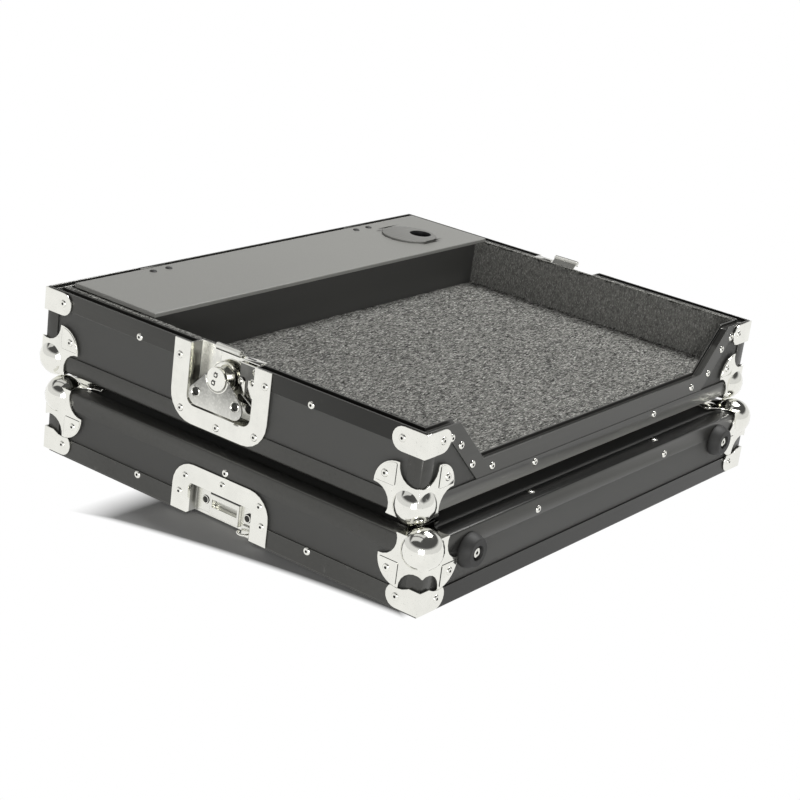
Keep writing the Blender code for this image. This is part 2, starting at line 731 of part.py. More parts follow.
def build_latch_dish(side, steel):
    """Pressed dish in the base's side wall: rim flange, pan open at the top, socket for the lid's tongue."""
    top = BASE_HEIGHT - GAP
    turn = side_turn(side)
    flange = prism(
        dish_outline(DISH_WIDTH / 2, LATCH_DISH_LOW, top, DISH_CORNER),
        out_of(-GAP - DISH_SHEET), out_of(-GAP), "x",
    )
    pan_half = RECESS_WIDTH / 2 + DISH_SHEET
    pan = prism(
        dish_outline(pan_half, RECESS_LOW - DISH_SHEET, top, RECESS_CORNER + DISH_SHEET),
        out_of(-GAP - DISH_SHEET / 2), out_of(DISH_BACK), "x",
    )
    cavity = prism(
        dish_outline(RECESS_WIDTH / 2, RECESS_LOW, top + RECESS_DEPTH, RECESS_CORNER),
        out_of(-2 * RECESS_DEPTH), out_of(RECESS_DEPTH), "x",
    )
    bearing = cylinder(
        (LATCH_Y, HUB_Z), STUB_RADIUS + GAP, out_of(RECESS_DEPTH / 2), out_of(2 * DISH_BACK), "x", 16
    )
    item = BASE.piece(f"latch_dish_{side}", flange, steel, joins=(pan,), cuts=(cavity, bearing), turn=turn)
    block_low = (out_of(RECESS_DEPTH - SOCKET_DEPTH), SOCKET_Y - SOCKET_WIDTH / 2, SOCKET_LOW)
    block_high = (out_of(RECESS_DEPTH + DISH_SHEET / 2), SOCKET_Y + SOCKET_WIDTH / 2, top - HOOK_BEAD_RADIUS)
    slot_x = RECESS_DEPTH - SOCKET_DEPTH + SLOT_FRONT_WALL
    slot_low = (out_of(slot_x), SOCKET_Y - SLOT_WIDTH / 2, top - HOOK_BEAD_RADIUS - SLOT_LENGTH)
    slot_high = (out_of(slot_x + SLOT_DEPTH), SOCKET_Y + SLOT_WIDTH / 2, top + SLOT_LENGTH)
    for kind, shape in (("UNION", box(block_low, block_high)), ("DIFFERENCE", box(slot_low, slot_high))):
        label = f"latch_socket_{kind.lower()}_{side}"
        helper = BASE.place(label, BASE.data(label, shape), (0, 0, 0), turn, HELPERS)
        helper.hide_render = True
        helper.display_type = "WIRE"
        step = item.modifiers.new(label, "BOOLEAN")
        step.operation = kind
        step.solver = "EXACT"
        step.object = helper


def hook_outline():
    """The hook from the side, as (x, z): a flat plate that leans out at the top to a round bead."""
    half = HOOK_SHEET / 2
    mid = out_of(RECESS_DEPTH - GAP - half)
    bend = (mid, HUB_Z + max(CAM_RADIUS, BARREL_RADIUS) + HOOK_TRAVEL + half)
    bead = (mid - HOOK_LEAN, BASE_HEIGHT + HOOK_ABOVE_RIM - HOOK_BEAD_RADIUS)
    lean = angle_of(bend, bead)
    skew = half * math.tan(math.radians((lean - 90) / 2))
    neck = math.degrees(math.asin(half / HOOK_BEAD_RADIUS))
    back_to_front = arc(*bead, HOOK_BEAD_RADIUS, lean - 180 + neck, lean + 180 - neck, 12)
    low = HUB_Z - HOOK_TAIL
    return [
        (mid - half, low), (mid + half, low), (mid + half, bend[1] + skew), *back_to_front,
        (mid - half, bend[1] - skew),
    ]


def build_hook(side, steel):
    """Hook plate that slides up and down against the dish, with a window that the hub's eccentric
    works in.
    """
    half = HOOK_WIDTH / 2
    swing = ECCENTRIC_RADIUS + ECCENTRICITY + GAP
    give = max(ECCENTRIC_RADIUS + YOKE_SLACK, ECCENTRICITY + STUB_RADIUS + GAP)
    middle = HUB_Z + ECCENTRICITY
    yoke = box(
        (out_of(RECESS_DEPTH / 2), LATCH_Y - swing, middle - give),
        (out_of(2 * RECESS_DEPTH), LATCH_Y + swing, middle + give),
    )
    plate = prism(hook_outline(), HOOK_Y - half, HOOK_Y + half, "y")
    BASE.piece(f"latch_hook_{side}", plate, steel, cuts=(yoke,), turn=side_turn(side))


def wing_depth():
    """Depth of the middle of the wing's sheet, just proud of the dish's flange."""
    return -GAP - DISH_SHEET - GAP - WING_SHEET / 2


def place_turned(name, mesh, material, side, pivot, joins=(), cuts=()):
    """A latch piece whose origin is on its joint's axis, on either side of the case."""
    if side == "left":
        BASE.piece(name, mesh, material, joins=joins, cuts=cuts, pivot=pivot)
        return
    for shape in (mesh, *joins, *cuts):
        turned(shape, math.pi)
    BASE.piece(name, mesh, material, joins=joins, cuts=cuts, pivot=(-pivot[0], -pivot[1], pivot[2]))


def build_hub(side, steel):
    """Hub that the wing turns: face, barrel, cam disc, eccentric and the stub that runs in the dish."""
    centre = (LATCH_Y, HUB_Z)
    cam_back = RECESS_DEPTH - GAP - HOOK_SHEET - GAP
    face = cylinder(centre, HUB_RADIUS, out_of(-GAP - DISH_SHEET - HUB_PROUD), out_of(-GAP), "x", 32)
    barrel = cylinder(
        centre, BARREL_RADIUS, out_of(-GAP - DISH_SHEET), out_of(cam_back - CAM_SHEET / 2), "x"
    )
    cam = cylinder(centre, CAM_RADIUS, out_of(cam_back - CAM_SHEET), out_of(cam_back), "x", 28)
    lobe = cylinder(
        (LATCH_Y, HUB_Z + ECCENTRICITY),
        ECCENTRIC_RADIUS,
        out_of(cam_back - CAM_SHEET / 2),
        out_of(RECESS_DEPTH - GAP),
        "x",
        20,
    )
    stub = cylinder(centre, STUB_RADIUS, out_of(cam_back - CAM_SHEET / 2), out_of(DISH_BACK - GAP), "x", 12)
    pivot = (out_of(wing_depth()), LATCH_Y, HUB_Z)
    place_turned(f"latch_hub_{side}", face, steel, side, pivot, joins=(barrel, cam, lobe, stub))


def build_wing(side, steel):
    """Butterfly wing: a sheet with two round lobes that wraps under the hub's face and is hinged
    beside it.
    """
    depth = wing_depth()
    notch = HUB_RADIUS + GAP
    ear = notch + WING_EAR
    low = HUB_Z - WING_LOBE_DROP
    lobes = [(LATCH_Y - WING_LOBE_Y, low), (LATCH_Y + WING_LOBE_Y, low)]
    outline = [
        (LATCH_Y - ear, HUB_Z),
        *arc(*lobes[0], WING_LOBE_RADIUS, 135, 270, 9),
        *arc(*lobes[1], WING_LOBE_RADIUS, -90, 45, 9),
        (LATCH_Y + ear, HUB_Z),
        *arc(LATCH_Y, HUB_Z, notch, 0, -180, 16),
    ]
    half = WING_SHEET / 2
    sheet = prism(outline, out_of(depth - half), out_of(depth + half), "x")
    spot = (out_of(depth), HUB_Z)
    knuckles = [
        cylinder(spot, WING_KNUCKLE_RADIUS, LATCH_Y + sign * notch, LATCH_Y + sign * (ear + GAP), "y", 12)
        for sign in (-1, 1)
    ]
    holes = [
        cylinder(
            (LATCH_Y + sign * WING_HOLE_Y, HUB_Z - WING_HOLE_DROP), WING_HOLE_RADIUS,
            out_of(depth - WING_SHEET), out_of(depth + WING_SHEET), "x", 16,
        )
        for sign in (-1, 1)
    ]
    pivot = (out_of(depth), LATCH_Y, HUB_Z)
    place_turned(f"latch_wing_{side}", sheet, steel, side, pivot, joins=knuckles, cuts=holes)


def build_keeper(side, steel):
    """Keeper dish in the lid's side wall, and the plate with the window that the hook pulls on."""
    rim = LID_HEIGHT - GAP
    low = LID_HEIGHT - KEEPER_DISH_HEIGHT
    recess = LID_HEIGHT - KEEPER_RECESS_HEIGHT
    turn = side_turn(side)
    flange = prism(
        dish_outline(DISH_WIDTH / 2, low, rim, KEEPER_DISH_CORNER), out_of(-GAP - DISH_SHEET),
        out_of(-GAP), "x"
    )
    pan = prism(
        dish_outline(
            RECESS_WIDTH / 2 + DISH_SHEET, recess - DISH_SHEET, rim, RECESS_CORNER / 2 + DISH_SHEET
        ),
        out_of(-GAP - DISH_SHEET / 2), out_of(KEEPER_RECESS_DEPTH + DISH_SHEET), "x",
    )
    cavity = prism(
        dish_outline(RECESS_WIDTH / 2, recess, rim + RECESS_DEPTH, RECESS_CORNER / 2),
        out_of(-2 * RECESS_DEPTH), out_of(KEEPER_RECESS_DEPTH), "x",
    )
    LID.piece(f"keeper_dish_{side}", flange, steel, joins=(pan,), cuts=(cavity,), turn=turn)
    back = out_of(KEEPER_RECESS_DEPTH - GAP)
    high = rim - KEEPER_BELOW_RIM
    plate_half = KEEPER_PLATE_WIDTH / 2
    plate = box(
        (back - KEEPER_SHEET, KEEPER_Y - plate_half, high - KEEPER_PLATE_HEIGHT),
        (back, KEEPER_Y + plate_half, high)
    )
    window_high = LID_HEIGHT - WINDOW_BELOW_RIM
    window_low = window_high - WINDOW_HEIGHT
    half = WINDOW_WIDTH / 2
    raised = box(
        (
            back - KEEPER_SHEET - KEEPER_FRAME_RISE,
            KEEPER_Y - half - FRAME_BORDER,
            high - KEEPER_PLATE_HEIGHT + FRAME_INSIDE_PLATE,
        ),
        (back - KEEPER_SHEET / 2, KEEPER_Y + half + FRAME_BORDER, high - FRAME_INSIDE_PLATE),
    )
    window = box(
        (out_of(-GAP), KEEPER_Y - half, window_low), (back + KEEPER_SHEET, KEEPER_Y + half, window_high)
    )
    tab = box(
        (back - KEEPER_SHEET / 2 - TAB_SHEET, SOCKET_Y - TAB_WIDTH / 2, high - TAB_OVERLAP),
        (back - KEEPER_SHEET / 2, SOCKET_Y + TAB_WIDTH / 2, rim + TONGUE),
    )
    LID.piece(f"keeper_plate_{side}", plate, steel, joins=(raised, tab), cuts=(window,), turn=turn)


# Inside the base and the lid


def build_linings(carpet, foam):
    """Carpeted pad on the tray floor with its two upturned sides, and the foam under the lid's top."""
    x, y = HALF_W - LINING_FACE, HALF_D - LINING_FACE
    low = PANEL_FACE + PLY + GAP
    high = LINING_TOP
    inner = HALF_W - LINING_INSIDE
    block = box((-x, -y, low), (x, y, high))
    hollow = box((-inner, -HALF_D, FLOOR_LEVEL), (inner, HALF_D, high + LINING))
    pan_half = NOTCH_HALF
    pockets = []
    for sx in (-1, 1):
        near, far = sorted((sx * (HALF_W - DISH_BACK - GAP), sx * HALF_W))
        pockets.append(
            box((near, -pan_half, RECESS_LOW - DISH_SHEET - GAP), (far, pan_half, high + LINING))
        )
    wall_seat = box(
        (-inner, BAY_WALL_Y - GAP, FLOOR_LEVEL - BAY_WALL_SINK - GAP),
        (inner, BAY_WALL_Y + BAY_WALL + GAP, high)
    )
    BASE.piece("tray_lining", block, carpet, cuts=(hollow, wall_seat, *pockets))
    lid_pad = box((-x, -y, low), (x, y, low + LID_FOAM))
    LID.piece("lid_lining", lid_pad, foam)


def build_cable_bay(laminate, grey, steel, rubber):
    """Cable bay along the back: its front wall, the hinged cover with its round grommet, and two hinges."""
    inner = HALF_W - LINING_INSIDE - GAP
    wall = box((-inner, BAY_WALL_Y, FLOOR_LEVEL - BAY_WALL_SINK), (inner, BAY_WALL_Y + BAY_WALL, LINING_TOP))
    BASE.piece("cable_bay_wall", wall, laminate)
    back = HINGE_AXIS_Y - BARREL_HINGE_RADIUS - GAP
    sheet = box(
        (-COVER_HALF_WIDTH, COVER_FRONT_Y, COVER_LOW), (COVER_HALF_WIDTH, back, COVER_LOW + COVER_SHEET)
    )
    top = COVER_LOW + COVER_SHEET
    round_edges(sheet, lambda m: m.z > top - COVER_EDGE, COVER_EDGE, 1)
    neck_radius = GROMMET_RADIUS - GROMMET_NECK_INSET
    opening = prism(
        circle(GROMMET_X, GROMMET_Y, neck_radius + GAP, 36), COVER_LOW - COVER_SHEET, top + COVER_SHEET, "z"
    )
    pivot = (0, HINGE_AXIS_Y, HINGE_AXIS_Z)
    BASE.piece("cable_bay_cover", sheet, grey, cuts=(opening,), pivot=pivot)
    crown = top + GAP + GROMMET_FLANGE
    flange = prism(circle(GROMMET_X, GROMMET_Y, GROMMET_RADIUS, 36), top + GAP, crown, "z")
    round_edges(flange, lambda m: m.z > crown - GAP, GROMMET_EDGE, 2)
    neck = prism(
        circle(GROMMET_X, GROMMET_Y, neck_radius, 36),
        COVER_LOW - GROMMET_NECK_BELOW, crown - GROMMET_FLANGE / 2, "z",
    )
    hole = prism(
        circle(GROMMET_X + GROMMET_HOLE_X, GROMMET_Y + GROMMET_HOLE_Y, GROMMET_HOLE_RADIUS, 24),
        COVER_LOW - 2 * COVER_SHEET, top + 2 * COVER_SHEET, "z",
    )
    BASE.piece("cable_grommet", flange, rubber, joins=(neck,), cuts=(hole,), pivot=pivot)
    for side, sx in (("left", -1), ("right", 1)):
        x = sx * HINGE_X
        leaf_back = HALF_D - LINING_FACE
        leaf = box(
            (x - HINGE_LENGTH / 2, leaf_back - HINGE_SHEET, HINGE_AXIS_Z - HINGE_LEAF),
            (x + HINGE_LENGTH / 2, leaf_back, HINGE_AXIS_Z),
        )
        barrel_half = HINGE_LENGTH / 2 - GAP
        barrel = cylinder(
            (HINGE_AXIS_Y, HINGE_AXIS_Z), BARREL_HINGE_RADIUS, x - barrel_half, x + barrel_half, "x", 16
        )
        BASE.piece(f"cover_hinge_{side}", leaf, steel, joins=(barrel,))


def build_handle(steel, rubber):
    """Carrying handle on the back: a plate with two ears, and a bail with a thick grip that hangs
    from them.
    """
    face = HALF_D + HANDLE_SEAT
    half = HANDLE_PLATE_LENGTH / 2
    z_low, z_high = HANDLE_Z - HANDLE_PLATE_HEIGHT / 2, HANDLE_Z + HANDLE_PLATE_HEIGHT / 2
    plate = box((-half, face, z_low), (half, face + HANDLE_PLATE, z_high))
    at_corner = lambda m: abs(m.x) > half * 0.99 and abs(m.z - HANDLE_Z) > HANDLE_PLATE_HEIGHT * 0.4
    round_edges(plate, at_corner, HANDLE_PLATE_CORNER, 3)
    axis_y = HALF_D + HANDLE_AXIS_OUT
    root = face + HANDLE_PLATE / 2
    tab = BAIL_RADIUS + EAR_BORDER
    ear = [(root, HANDLE_Z - tab), *arc(axis_y, HANDLE_Z, tab, -90, 90, 8), (root, HANDLE_Z + tab)]
    ears, holes = [], []
    for sx in (-1, 1):
        near, far = sorted((sx * EAR_HALF_SPACING, sx * (EAR_HALF_SPACING + EAR_WIDTH)))
        ears.append(prism(ear, near, far, "x"))
        holes.append(
            cylinder((axis_y, HANDLE_Z), BAIL_RADIUS + GAP, near - EAR_WIDTH, far + EAR_WIDTH, "x", 16)
        )
    BASE.piece("handle_bracket", plate, steel, joins=ears, cuts=holes)
    end = EAR_HALF_SPACING + EAR_WIDTH
    leg = EAR_HALF_SPACING - GAP - BAIL_RADIUS
    low = HANDLE_Z - BAIL_DROP
    bend = arc(leg - BAIL_BEND, low + BAIL_BEND, BAIL_BEND, -90, 0, 4)
    half_path = [*bend, (leg, HANDLE_Z), (end, HANDLE_Z)]
    path = [*[(-x, z) for x, z in reversed(half_path)], *half_path]
    grip = cylinder((axis_y, low), GRIP_RADIUS, -GRIP_HALF_LENGTH, GRIP_HALF_LENGTH, "x", 20)
    BASE.piece(
        "handle_bail", rod(path, BAIL_RADIUS, axis_y), rubber, joins=(grip,), pivot=(0, axis_y, HANDLE_Z)
    )


def main():
    """Builds the case."""
    clear_scene()
    black = finish("black_anodised_aluminium", (0.060, 0.060, 0.058), 0.42, 0.6)
    laminate = finish("charcoal_laminate", (0.070, 0.070, 0.067), 0.50, 0.0)
    nickel = finish("bright_nickel_steel", (0.78, 0.78, 0.76), 0.22, 1.0)
    rubber = finish("black_rubber", (0.035, 0.035, 0.035), 0.70, 0.0)
    carpet = finish("grey_needle_carpet", (0.16, 0.16, 0.155), 0.95, 0.0)
    foam = finish("black_foam", (0.03, 0.03, 0.03), 0.95, 0.0)
    grey = finish("grey_satin_panel", (0.45, 0.45, 0.42), 0.45, 0.0)
    build_panels(LID, laminate, SKIN)
    build_panels(BASE, laminate, GROOVE_DEPTH + SKIN)
    build_closures(black)
    for half in (LID, BASE):
        build_edge_angles(half, black)
        build_ball_corners(half, nickel)
        build_corner_clips(half, nickel)
    build_feet(rubber)
    for side in ("left", "right"):
        build_keeper(side, nickel)
        build_latch_dish(side, nickel)
        build_hook(side, nickel)
        build_hub(side, nickel)
        build_wing(side, nickel)
    build_linings(carpet, foam)
    build_cable_bay(laminate, grey, nickel, rubber)
    build_handle(nickel, rubber)


main()
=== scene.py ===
"""Looks of the controller flight case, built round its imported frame.

Every size is in metres, in the frame's own axes: +X right along the front, +Y to the back, +Z up. TRAY_FOOT
is a height just below the tray's lowest face. Small parts are set down from STAND_OFF outside a face, and
look for it as far as REACH. Points nearer than SAME_SPOT are one point.
"""

from __future__ import annotations

import json
import logging
import math
from collections.abc import Callable, Iterable, Sequence
from dataclasses import dataclass, field
from enum import Enum
from typing import Any, ClassVar

import bmesh
import bpy
from mathutils import Matrix, Vector, noise
from mathutils.bvhtree import BVHTree

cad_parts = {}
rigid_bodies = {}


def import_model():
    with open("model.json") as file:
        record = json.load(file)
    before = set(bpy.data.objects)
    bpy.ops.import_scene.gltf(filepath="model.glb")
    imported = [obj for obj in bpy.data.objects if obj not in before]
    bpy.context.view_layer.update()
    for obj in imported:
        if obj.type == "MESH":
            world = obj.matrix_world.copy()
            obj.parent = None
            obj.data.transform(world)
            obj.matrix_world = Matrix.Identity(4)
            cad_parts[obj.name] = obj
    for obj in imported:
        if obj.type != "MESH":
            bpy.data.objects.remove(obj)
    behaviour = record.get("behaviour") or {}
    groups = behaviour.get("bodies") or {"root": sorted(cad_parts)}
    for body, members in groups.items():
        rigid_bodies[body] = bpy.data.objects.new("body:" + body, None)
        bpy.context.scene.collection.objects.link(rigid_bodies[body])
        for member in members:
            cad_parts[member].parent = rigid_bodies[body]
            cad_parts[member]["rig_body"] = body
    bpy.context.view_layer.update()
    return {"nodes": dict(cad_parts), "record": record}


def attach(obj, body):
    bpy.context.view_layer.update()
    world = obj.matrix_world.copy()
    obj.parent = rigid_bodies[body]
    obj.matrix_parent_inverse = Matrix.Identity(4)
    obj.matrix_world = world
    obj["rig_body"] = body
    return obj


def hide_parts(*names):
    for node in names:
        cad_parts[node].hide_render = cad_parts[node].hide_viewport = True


LOG = logging.getLogger("flight_case")
MM = 0.001
TRAY_FOOT = 76.5 * MM
STAND_OFF = 30.0 * MM
REACH = 90.0 * MM
SAME_SPOT = 1e-6

Point2 = tuple[float, float]
Colour = tuple[float, float, float]
Lines = tuple[Sequence[float], Sequence[float]]


# Shader building


class Wire:
    """A socket that takes part in Python arithmetic by adding Math nodes."""

    def __init__(self, tree: bpy.types.NodeTree, socket: bpy.types.NodeSocket) -> None:
        """Wraps a socket.

        Args:
            tree: the node tree that the socket is in.
            socket: an output socket.
        """
        self.tree = tree
        self.socket = socket

    def _math(self, operation: str, left: Wire | float, right: Wire | float) -> Wire:
        """Adds one Math node.

        Args:
            operation: the node's operation.
            left: the first value.
            right: the second value.

        Returns:
            The result.
        """
        node = self.tree.nodes.new("ShaderNodeMath")
        node.operation = operation
        for slot, value in enumerate((left, right)):
            if isinstance(value, Wire):
                self.tree.links.new(value.socket, node.inputs[slot])
            else:
                node.inputs[slot].default_value = value
        return Wire(self.tree, node.outputs[0])

    def __add__(self, other: Wire | float) -> Wire:
        """Sum."""
        return self._math("ADD", self, other)

    __radd__ = __add__

    def __sub__(self, other: Wire | float) -> Wire:
        """Difference."""
        return self._math("SUBTRACT", self, other)

    def __rsub__(self, other: float) -> Wire:
        """Difference from a number."""
        return self._math("SUBTRACT", other, self)

    def __mul__(self, other: Wire | float) -> Wire:
        """Product."""
        return self._math("MULTIPLY", self, other)

    __rmul__ = __mul__

    def __pow__(self, power: float) -> Wire:
        """Power."""
        return self._math("POWER", self, power)

    def size(self) -> Wire:
        """Value without its sign."""
        return self._math("ABSOLUTE", self, 0.0)

    def least(self, other: Wire | float) -> Wire:
        """The lesser of two values."""
        return self._math("MINIMUM", self, other)

    def most(self, other: Wire | float) -> Wire:
        """The greater of two values."""
        return self._math("MAXIMUM", self, other)

    def step(self, edge: float, width: float) -> Wire:
        """Ramps from 0 to 1 across an edge.

        Args:
            edge: the middle of the ramp.
            width: the ramp's width.

        Returns:
            The clamped ramp.
        """
        ramp = (self - edge) * (1.0 / width) + 0.5
        ramp.socket.node.use_clamp = True
        return ramp


class Graph:
    """A node tree, with the one method that adds a node to it."""

    def __init__(self, tree: bpy.types.NodeTree) -> None:
        """Takes the tree.

        Args:
            tree: the node tree.
        """
        self.tree = tree

    def node(
        self, kind: str, settings: dict[str, Any] | None = None, sockets: dict[Any, Any] | None = None
    ) -> bpy.types.Node:
        """Adds a node.

        Args:
            kind: the node's type.
            settings: attributes, set first.
            sockets: input names or numbers, with values or wires.

        Returns:
            The node.
        """
        made = self.tree.nodes.new(kind)
        for key, value in (settings or {}).items():
            setattr(made, key, value)
        for key, value in (sockets or {}).items():
            if isinstance(value, Wire):
                self.tree.links.new(value.socket, made.inputs[key])
            else:
                made.inputs[key].default_value = value
        return made

    def output(
        self,
        kind: str,
        name: str | int,
        sockets: dict[Any, Any] | None = None,
        settings: dict[str, Any] | None = None,
    ) -> Wire:
        """Adds a node and takes one of its outputs.

        Args:
            kind: the node's type.
            name: the output's name or number.
            sockets: input names or numbers, with values or wires.
            settings: attributes, set first.

        Returns:
            The output.
        """
        return Wire(self.tree, self.node(kind, settings, sockets).outputs[name])

    def part(self, vector: Wire, index: int) -> Wire:
        """One part of a vector: 0 for X, 1 for Y, 2 for Z."""
        return self.output("ShaderNodeSeparateXYZ", index, {0: vector})


class Recipe(Graph):
    """A material under construction, with its Principled shader."""

    def __init__(self, name: str) -> None:
        """Starts a material.

        Args:
            name: the material's name.
        """
        self.material = bpy.data.materials.new(name)
        self.material.use_nodes = True
        super().__init__(self.material.node_tree)
        self.shader = self.tree.nodes["Principled BSDF"]

    def place(self, scale: Sequence[float] = (1.0, 1.0, 1.0)) -> Wire:
        """Object coordinates, stretched along each axis.

        Args:
            scale: factors on X, Y and Z.

        Returns:
            The vector.
        """
        origin = self.output("ShaderNodeTexCoord", "Object")
        return self.output("ShaderNodeMapping", 0, {"Scale": scale, "Vector": origin})

    def axis(self, index: int) -> Wire:
        """One of the object coordinates in metres: 0 for X, 1 for Y, 2 for Z."""
        return self.part(self.place(), index)

    def facing(self, index: int) -> Wire:
        """One part of the surface's own direction, -1 to 1: 0 for X, 1 for Y, 2 for Z."""
        return self.part(self.output("ShaderNodeTexCoord", "Normal"), index)

    def noise(
        self, scale: float, detail: float, rough: float, stretch: Sequence[float] = (1.0, 1.0, 1.0)
    ) -> Wire:
        """A noise pattern on object coordinates.

        Args:
            scale: cells per metre.
            detail: octaves.
            rough: strength of the finer octaves.
            stretch: factors on the coordinates.

        Returns:
            Values round 0.5.
        """
        sockets = {"Vector": self.place(stretch), "Scale": scale, "Detail": detail, "Roughness": rough}
        return self.output("ShaderNodeTexNoise", 0, sockets)

    def blend(self, low: Colour | Wire, high: Colour | Wire, factor: Wire) -> Wire:
        """Mixes two colours.

        Args:
            low: colour at factor 0.
            high: colour at factor 1.
            factor: the mix.

        Returns:
            The colour.
        """
        first, last = (end if isinstance(end, Wire) else (*end, 1.0) for end in (low, high))
        return self.output("ShaderNodeMix", 2, {0: factor, 6: first, 7: last}, {"data_type": "RGBA"})

    def bump(self, height: Wire, depth: float, strength: float) -> None:
        """Drives the shader's normal from a height.

        Args:
            height: the relief, 0 to 1.
            depth: the relief's depth in metres.
            strength: how much of it shows.
        """
        sockets = {"Height": height, "Distance": depth, "Strength": strength}
        self.feed("Normal", self.output("ShaderNodeBump", 0, sockets))

    def feed(self, name: str, value: Wire | float | Colour) -> None:
        """Sets or links one of the shader's sockets.

        Args:
            name: the socket's name.
            value: a number, a colour or a wire.
        """
        socket = self.shader.inputs[name]
        if isinstance(value, Wire):
            self.tree.links.new(value.socket, socket)
        elif isinstance(value, tuple):
            socket.default_value = (*value, 1.0)
        else:
            socket.default_value = value


def srgb(level: float, tint: Colour = (1.0, 1.0, 1.0)) -> Colour:
    """Linear colour of a grey given as a screen level.

    Args:
        level: 0 to 255.
        tint: factors on red, green and blue.

    Returns:
        The linear colour.
    """
    share = level / 255.0
    linear = share / 12.92 if share <= 0.04045 else ((share + 0.055) / 1.055) ** 2.4
    return (linear * tint[0], linear * tint[1], linear * tint[2])


WARM = (1.0, 0.995, 0.93)


@dataclass(frozen=True)
class Ledge:
    """Painted shade on the lid's upward face round the tray, dark in front of the tray; the left end is a
    paler grey.
    """

    # Levels of the painted shade: dark in front of the tray, paler at the left end.
    dark: float = 36.0
    dusty: float = 118.0
    dusty_end: float = -256.0 * MM

    def over(self, recipe: Recipe, base: Wire) -> Wire:
        """Paints shade on the upward faces below the tray's foot.

        Args:
            recipe: the material under construction.
            base: the colour so far.

        Returns:
            The colour.
        """
        # Painted shade: upward faces below the tray's foot go dark grey, and paler grey at the left end.
        upward = recipe.facing(2).step(0.7, 0.2) * (1 - recipe.axis(2).step(TRAY_FOOT, 1.0 * MM))
        left = 1 - recipe.axis(0).step(self.dusty_end, 12.0 * MM)
        grey = recipe.blend(srgb(self.dark, WARM), srgb(self.dusty, WARM), left)
        return recipe.blend(base, grey, upward)


@dataclass(frozen=True)
class SatinExtrusion:
    """Black anodised aluminium with the faint streaks of the die along its length.

    Painted shade makes it darker on the tray's left rim and at the foot of the front, and painted light makes
    it pale just above the gap between the halves.
    """

    name: str = "black_anodised_extrusion"
    level: float = 76.0
    along: int = 0
    streaks_across: float = 260.0
    streaks_along: float = 3.0
    shaded: float = 26.0
    rim_foot: float = 135.0 * MM
    rim_middle: float = 20.0 * MM
    rim_length: float = 340.0 * MM
    sill_top: float = 20.0 * MM
    skirt_top: float = 84.0 * MM
    skirt_level: float = 158.0

    def build(self) -> bpy.types.Material:
        """Makes the material.

        Returns:
            The material.
        """
        recipe = Recipe(self.name)
        stretch = [self.streaks_across] * 3
        stretch[self.along] = self.streaks_along
        streak = recipe.noise(scale=1.0, detail=3.0, rough=0.6, stretch=stretch)
        cloud = recipe.noise(scale=9.0, detail=3.0, rough=0.55)
        scuff = recipe.noise(scale=70.0, detail=4.0, rough=0.7).step(0.70, 0.06)
        dark = srgb(self.level - self.shaded, WARM)
        pattern = cloud * 0.6 + streak * 0.4
        base = recipe.blend(srgb(self.level - 10, WARM), srgb(self.level + 12, WARM), pattern)
        base = recipe.blend(base, srgb(self.level + 60, WARM), scuff * 0.25)
        # Painted shade on the left-facing faces of the tray's rim, strongest toward the front.
        painted_rim_shade = (recipe.facing(0) * -1.0).step(0.5, 0.3) * recipe.axis(2).step(self.rim_foot, 2.0 * MM)
        fore = 1 - recipe.axis(1).step(self.rim_middle, self.rim_length)
        base = recipe.blend(base, dark, painted_rim_shade * fore)
        frontward = (recipe.facing(1) * -1.0).step(0.5, 0.3)
        # Painted shade on front faces near the floor.
        painted_foot_shade = frontward * (1 - recipe.axis(2).step(self.sill_top, 2.0 * MM))
        base = recipe.blend(base, dark, painted_foot_shade)
        # Painted light: front faces just above the gap are pale and less metallic.
        above_gap = frontward * recipe.axis(2).step(TRAY_FOOT, 0.5 * MM)
        painted_band_light = above_gap * (1 - recipe.axis(2).step(self.skirt_top, 11.0 * MM))
        base = recipe.blend(base, srgb(self.skirt_level, WARM), painted_band_light)
        # The lid's upward ledge takes painted shade from Ledge.
        recipe.feed("Base Color", Ledge().over(recipe, base))
        recipe.feed("Roughness", 0.22 + streak * 0.08 + cloud * 0.08)
        recipe.feed("Metallic", 0.72 - painted_band_light * 0.6)
        recipe.bump(streak, depth=0.02 * MM, strength=0.4)
        return recipe.material


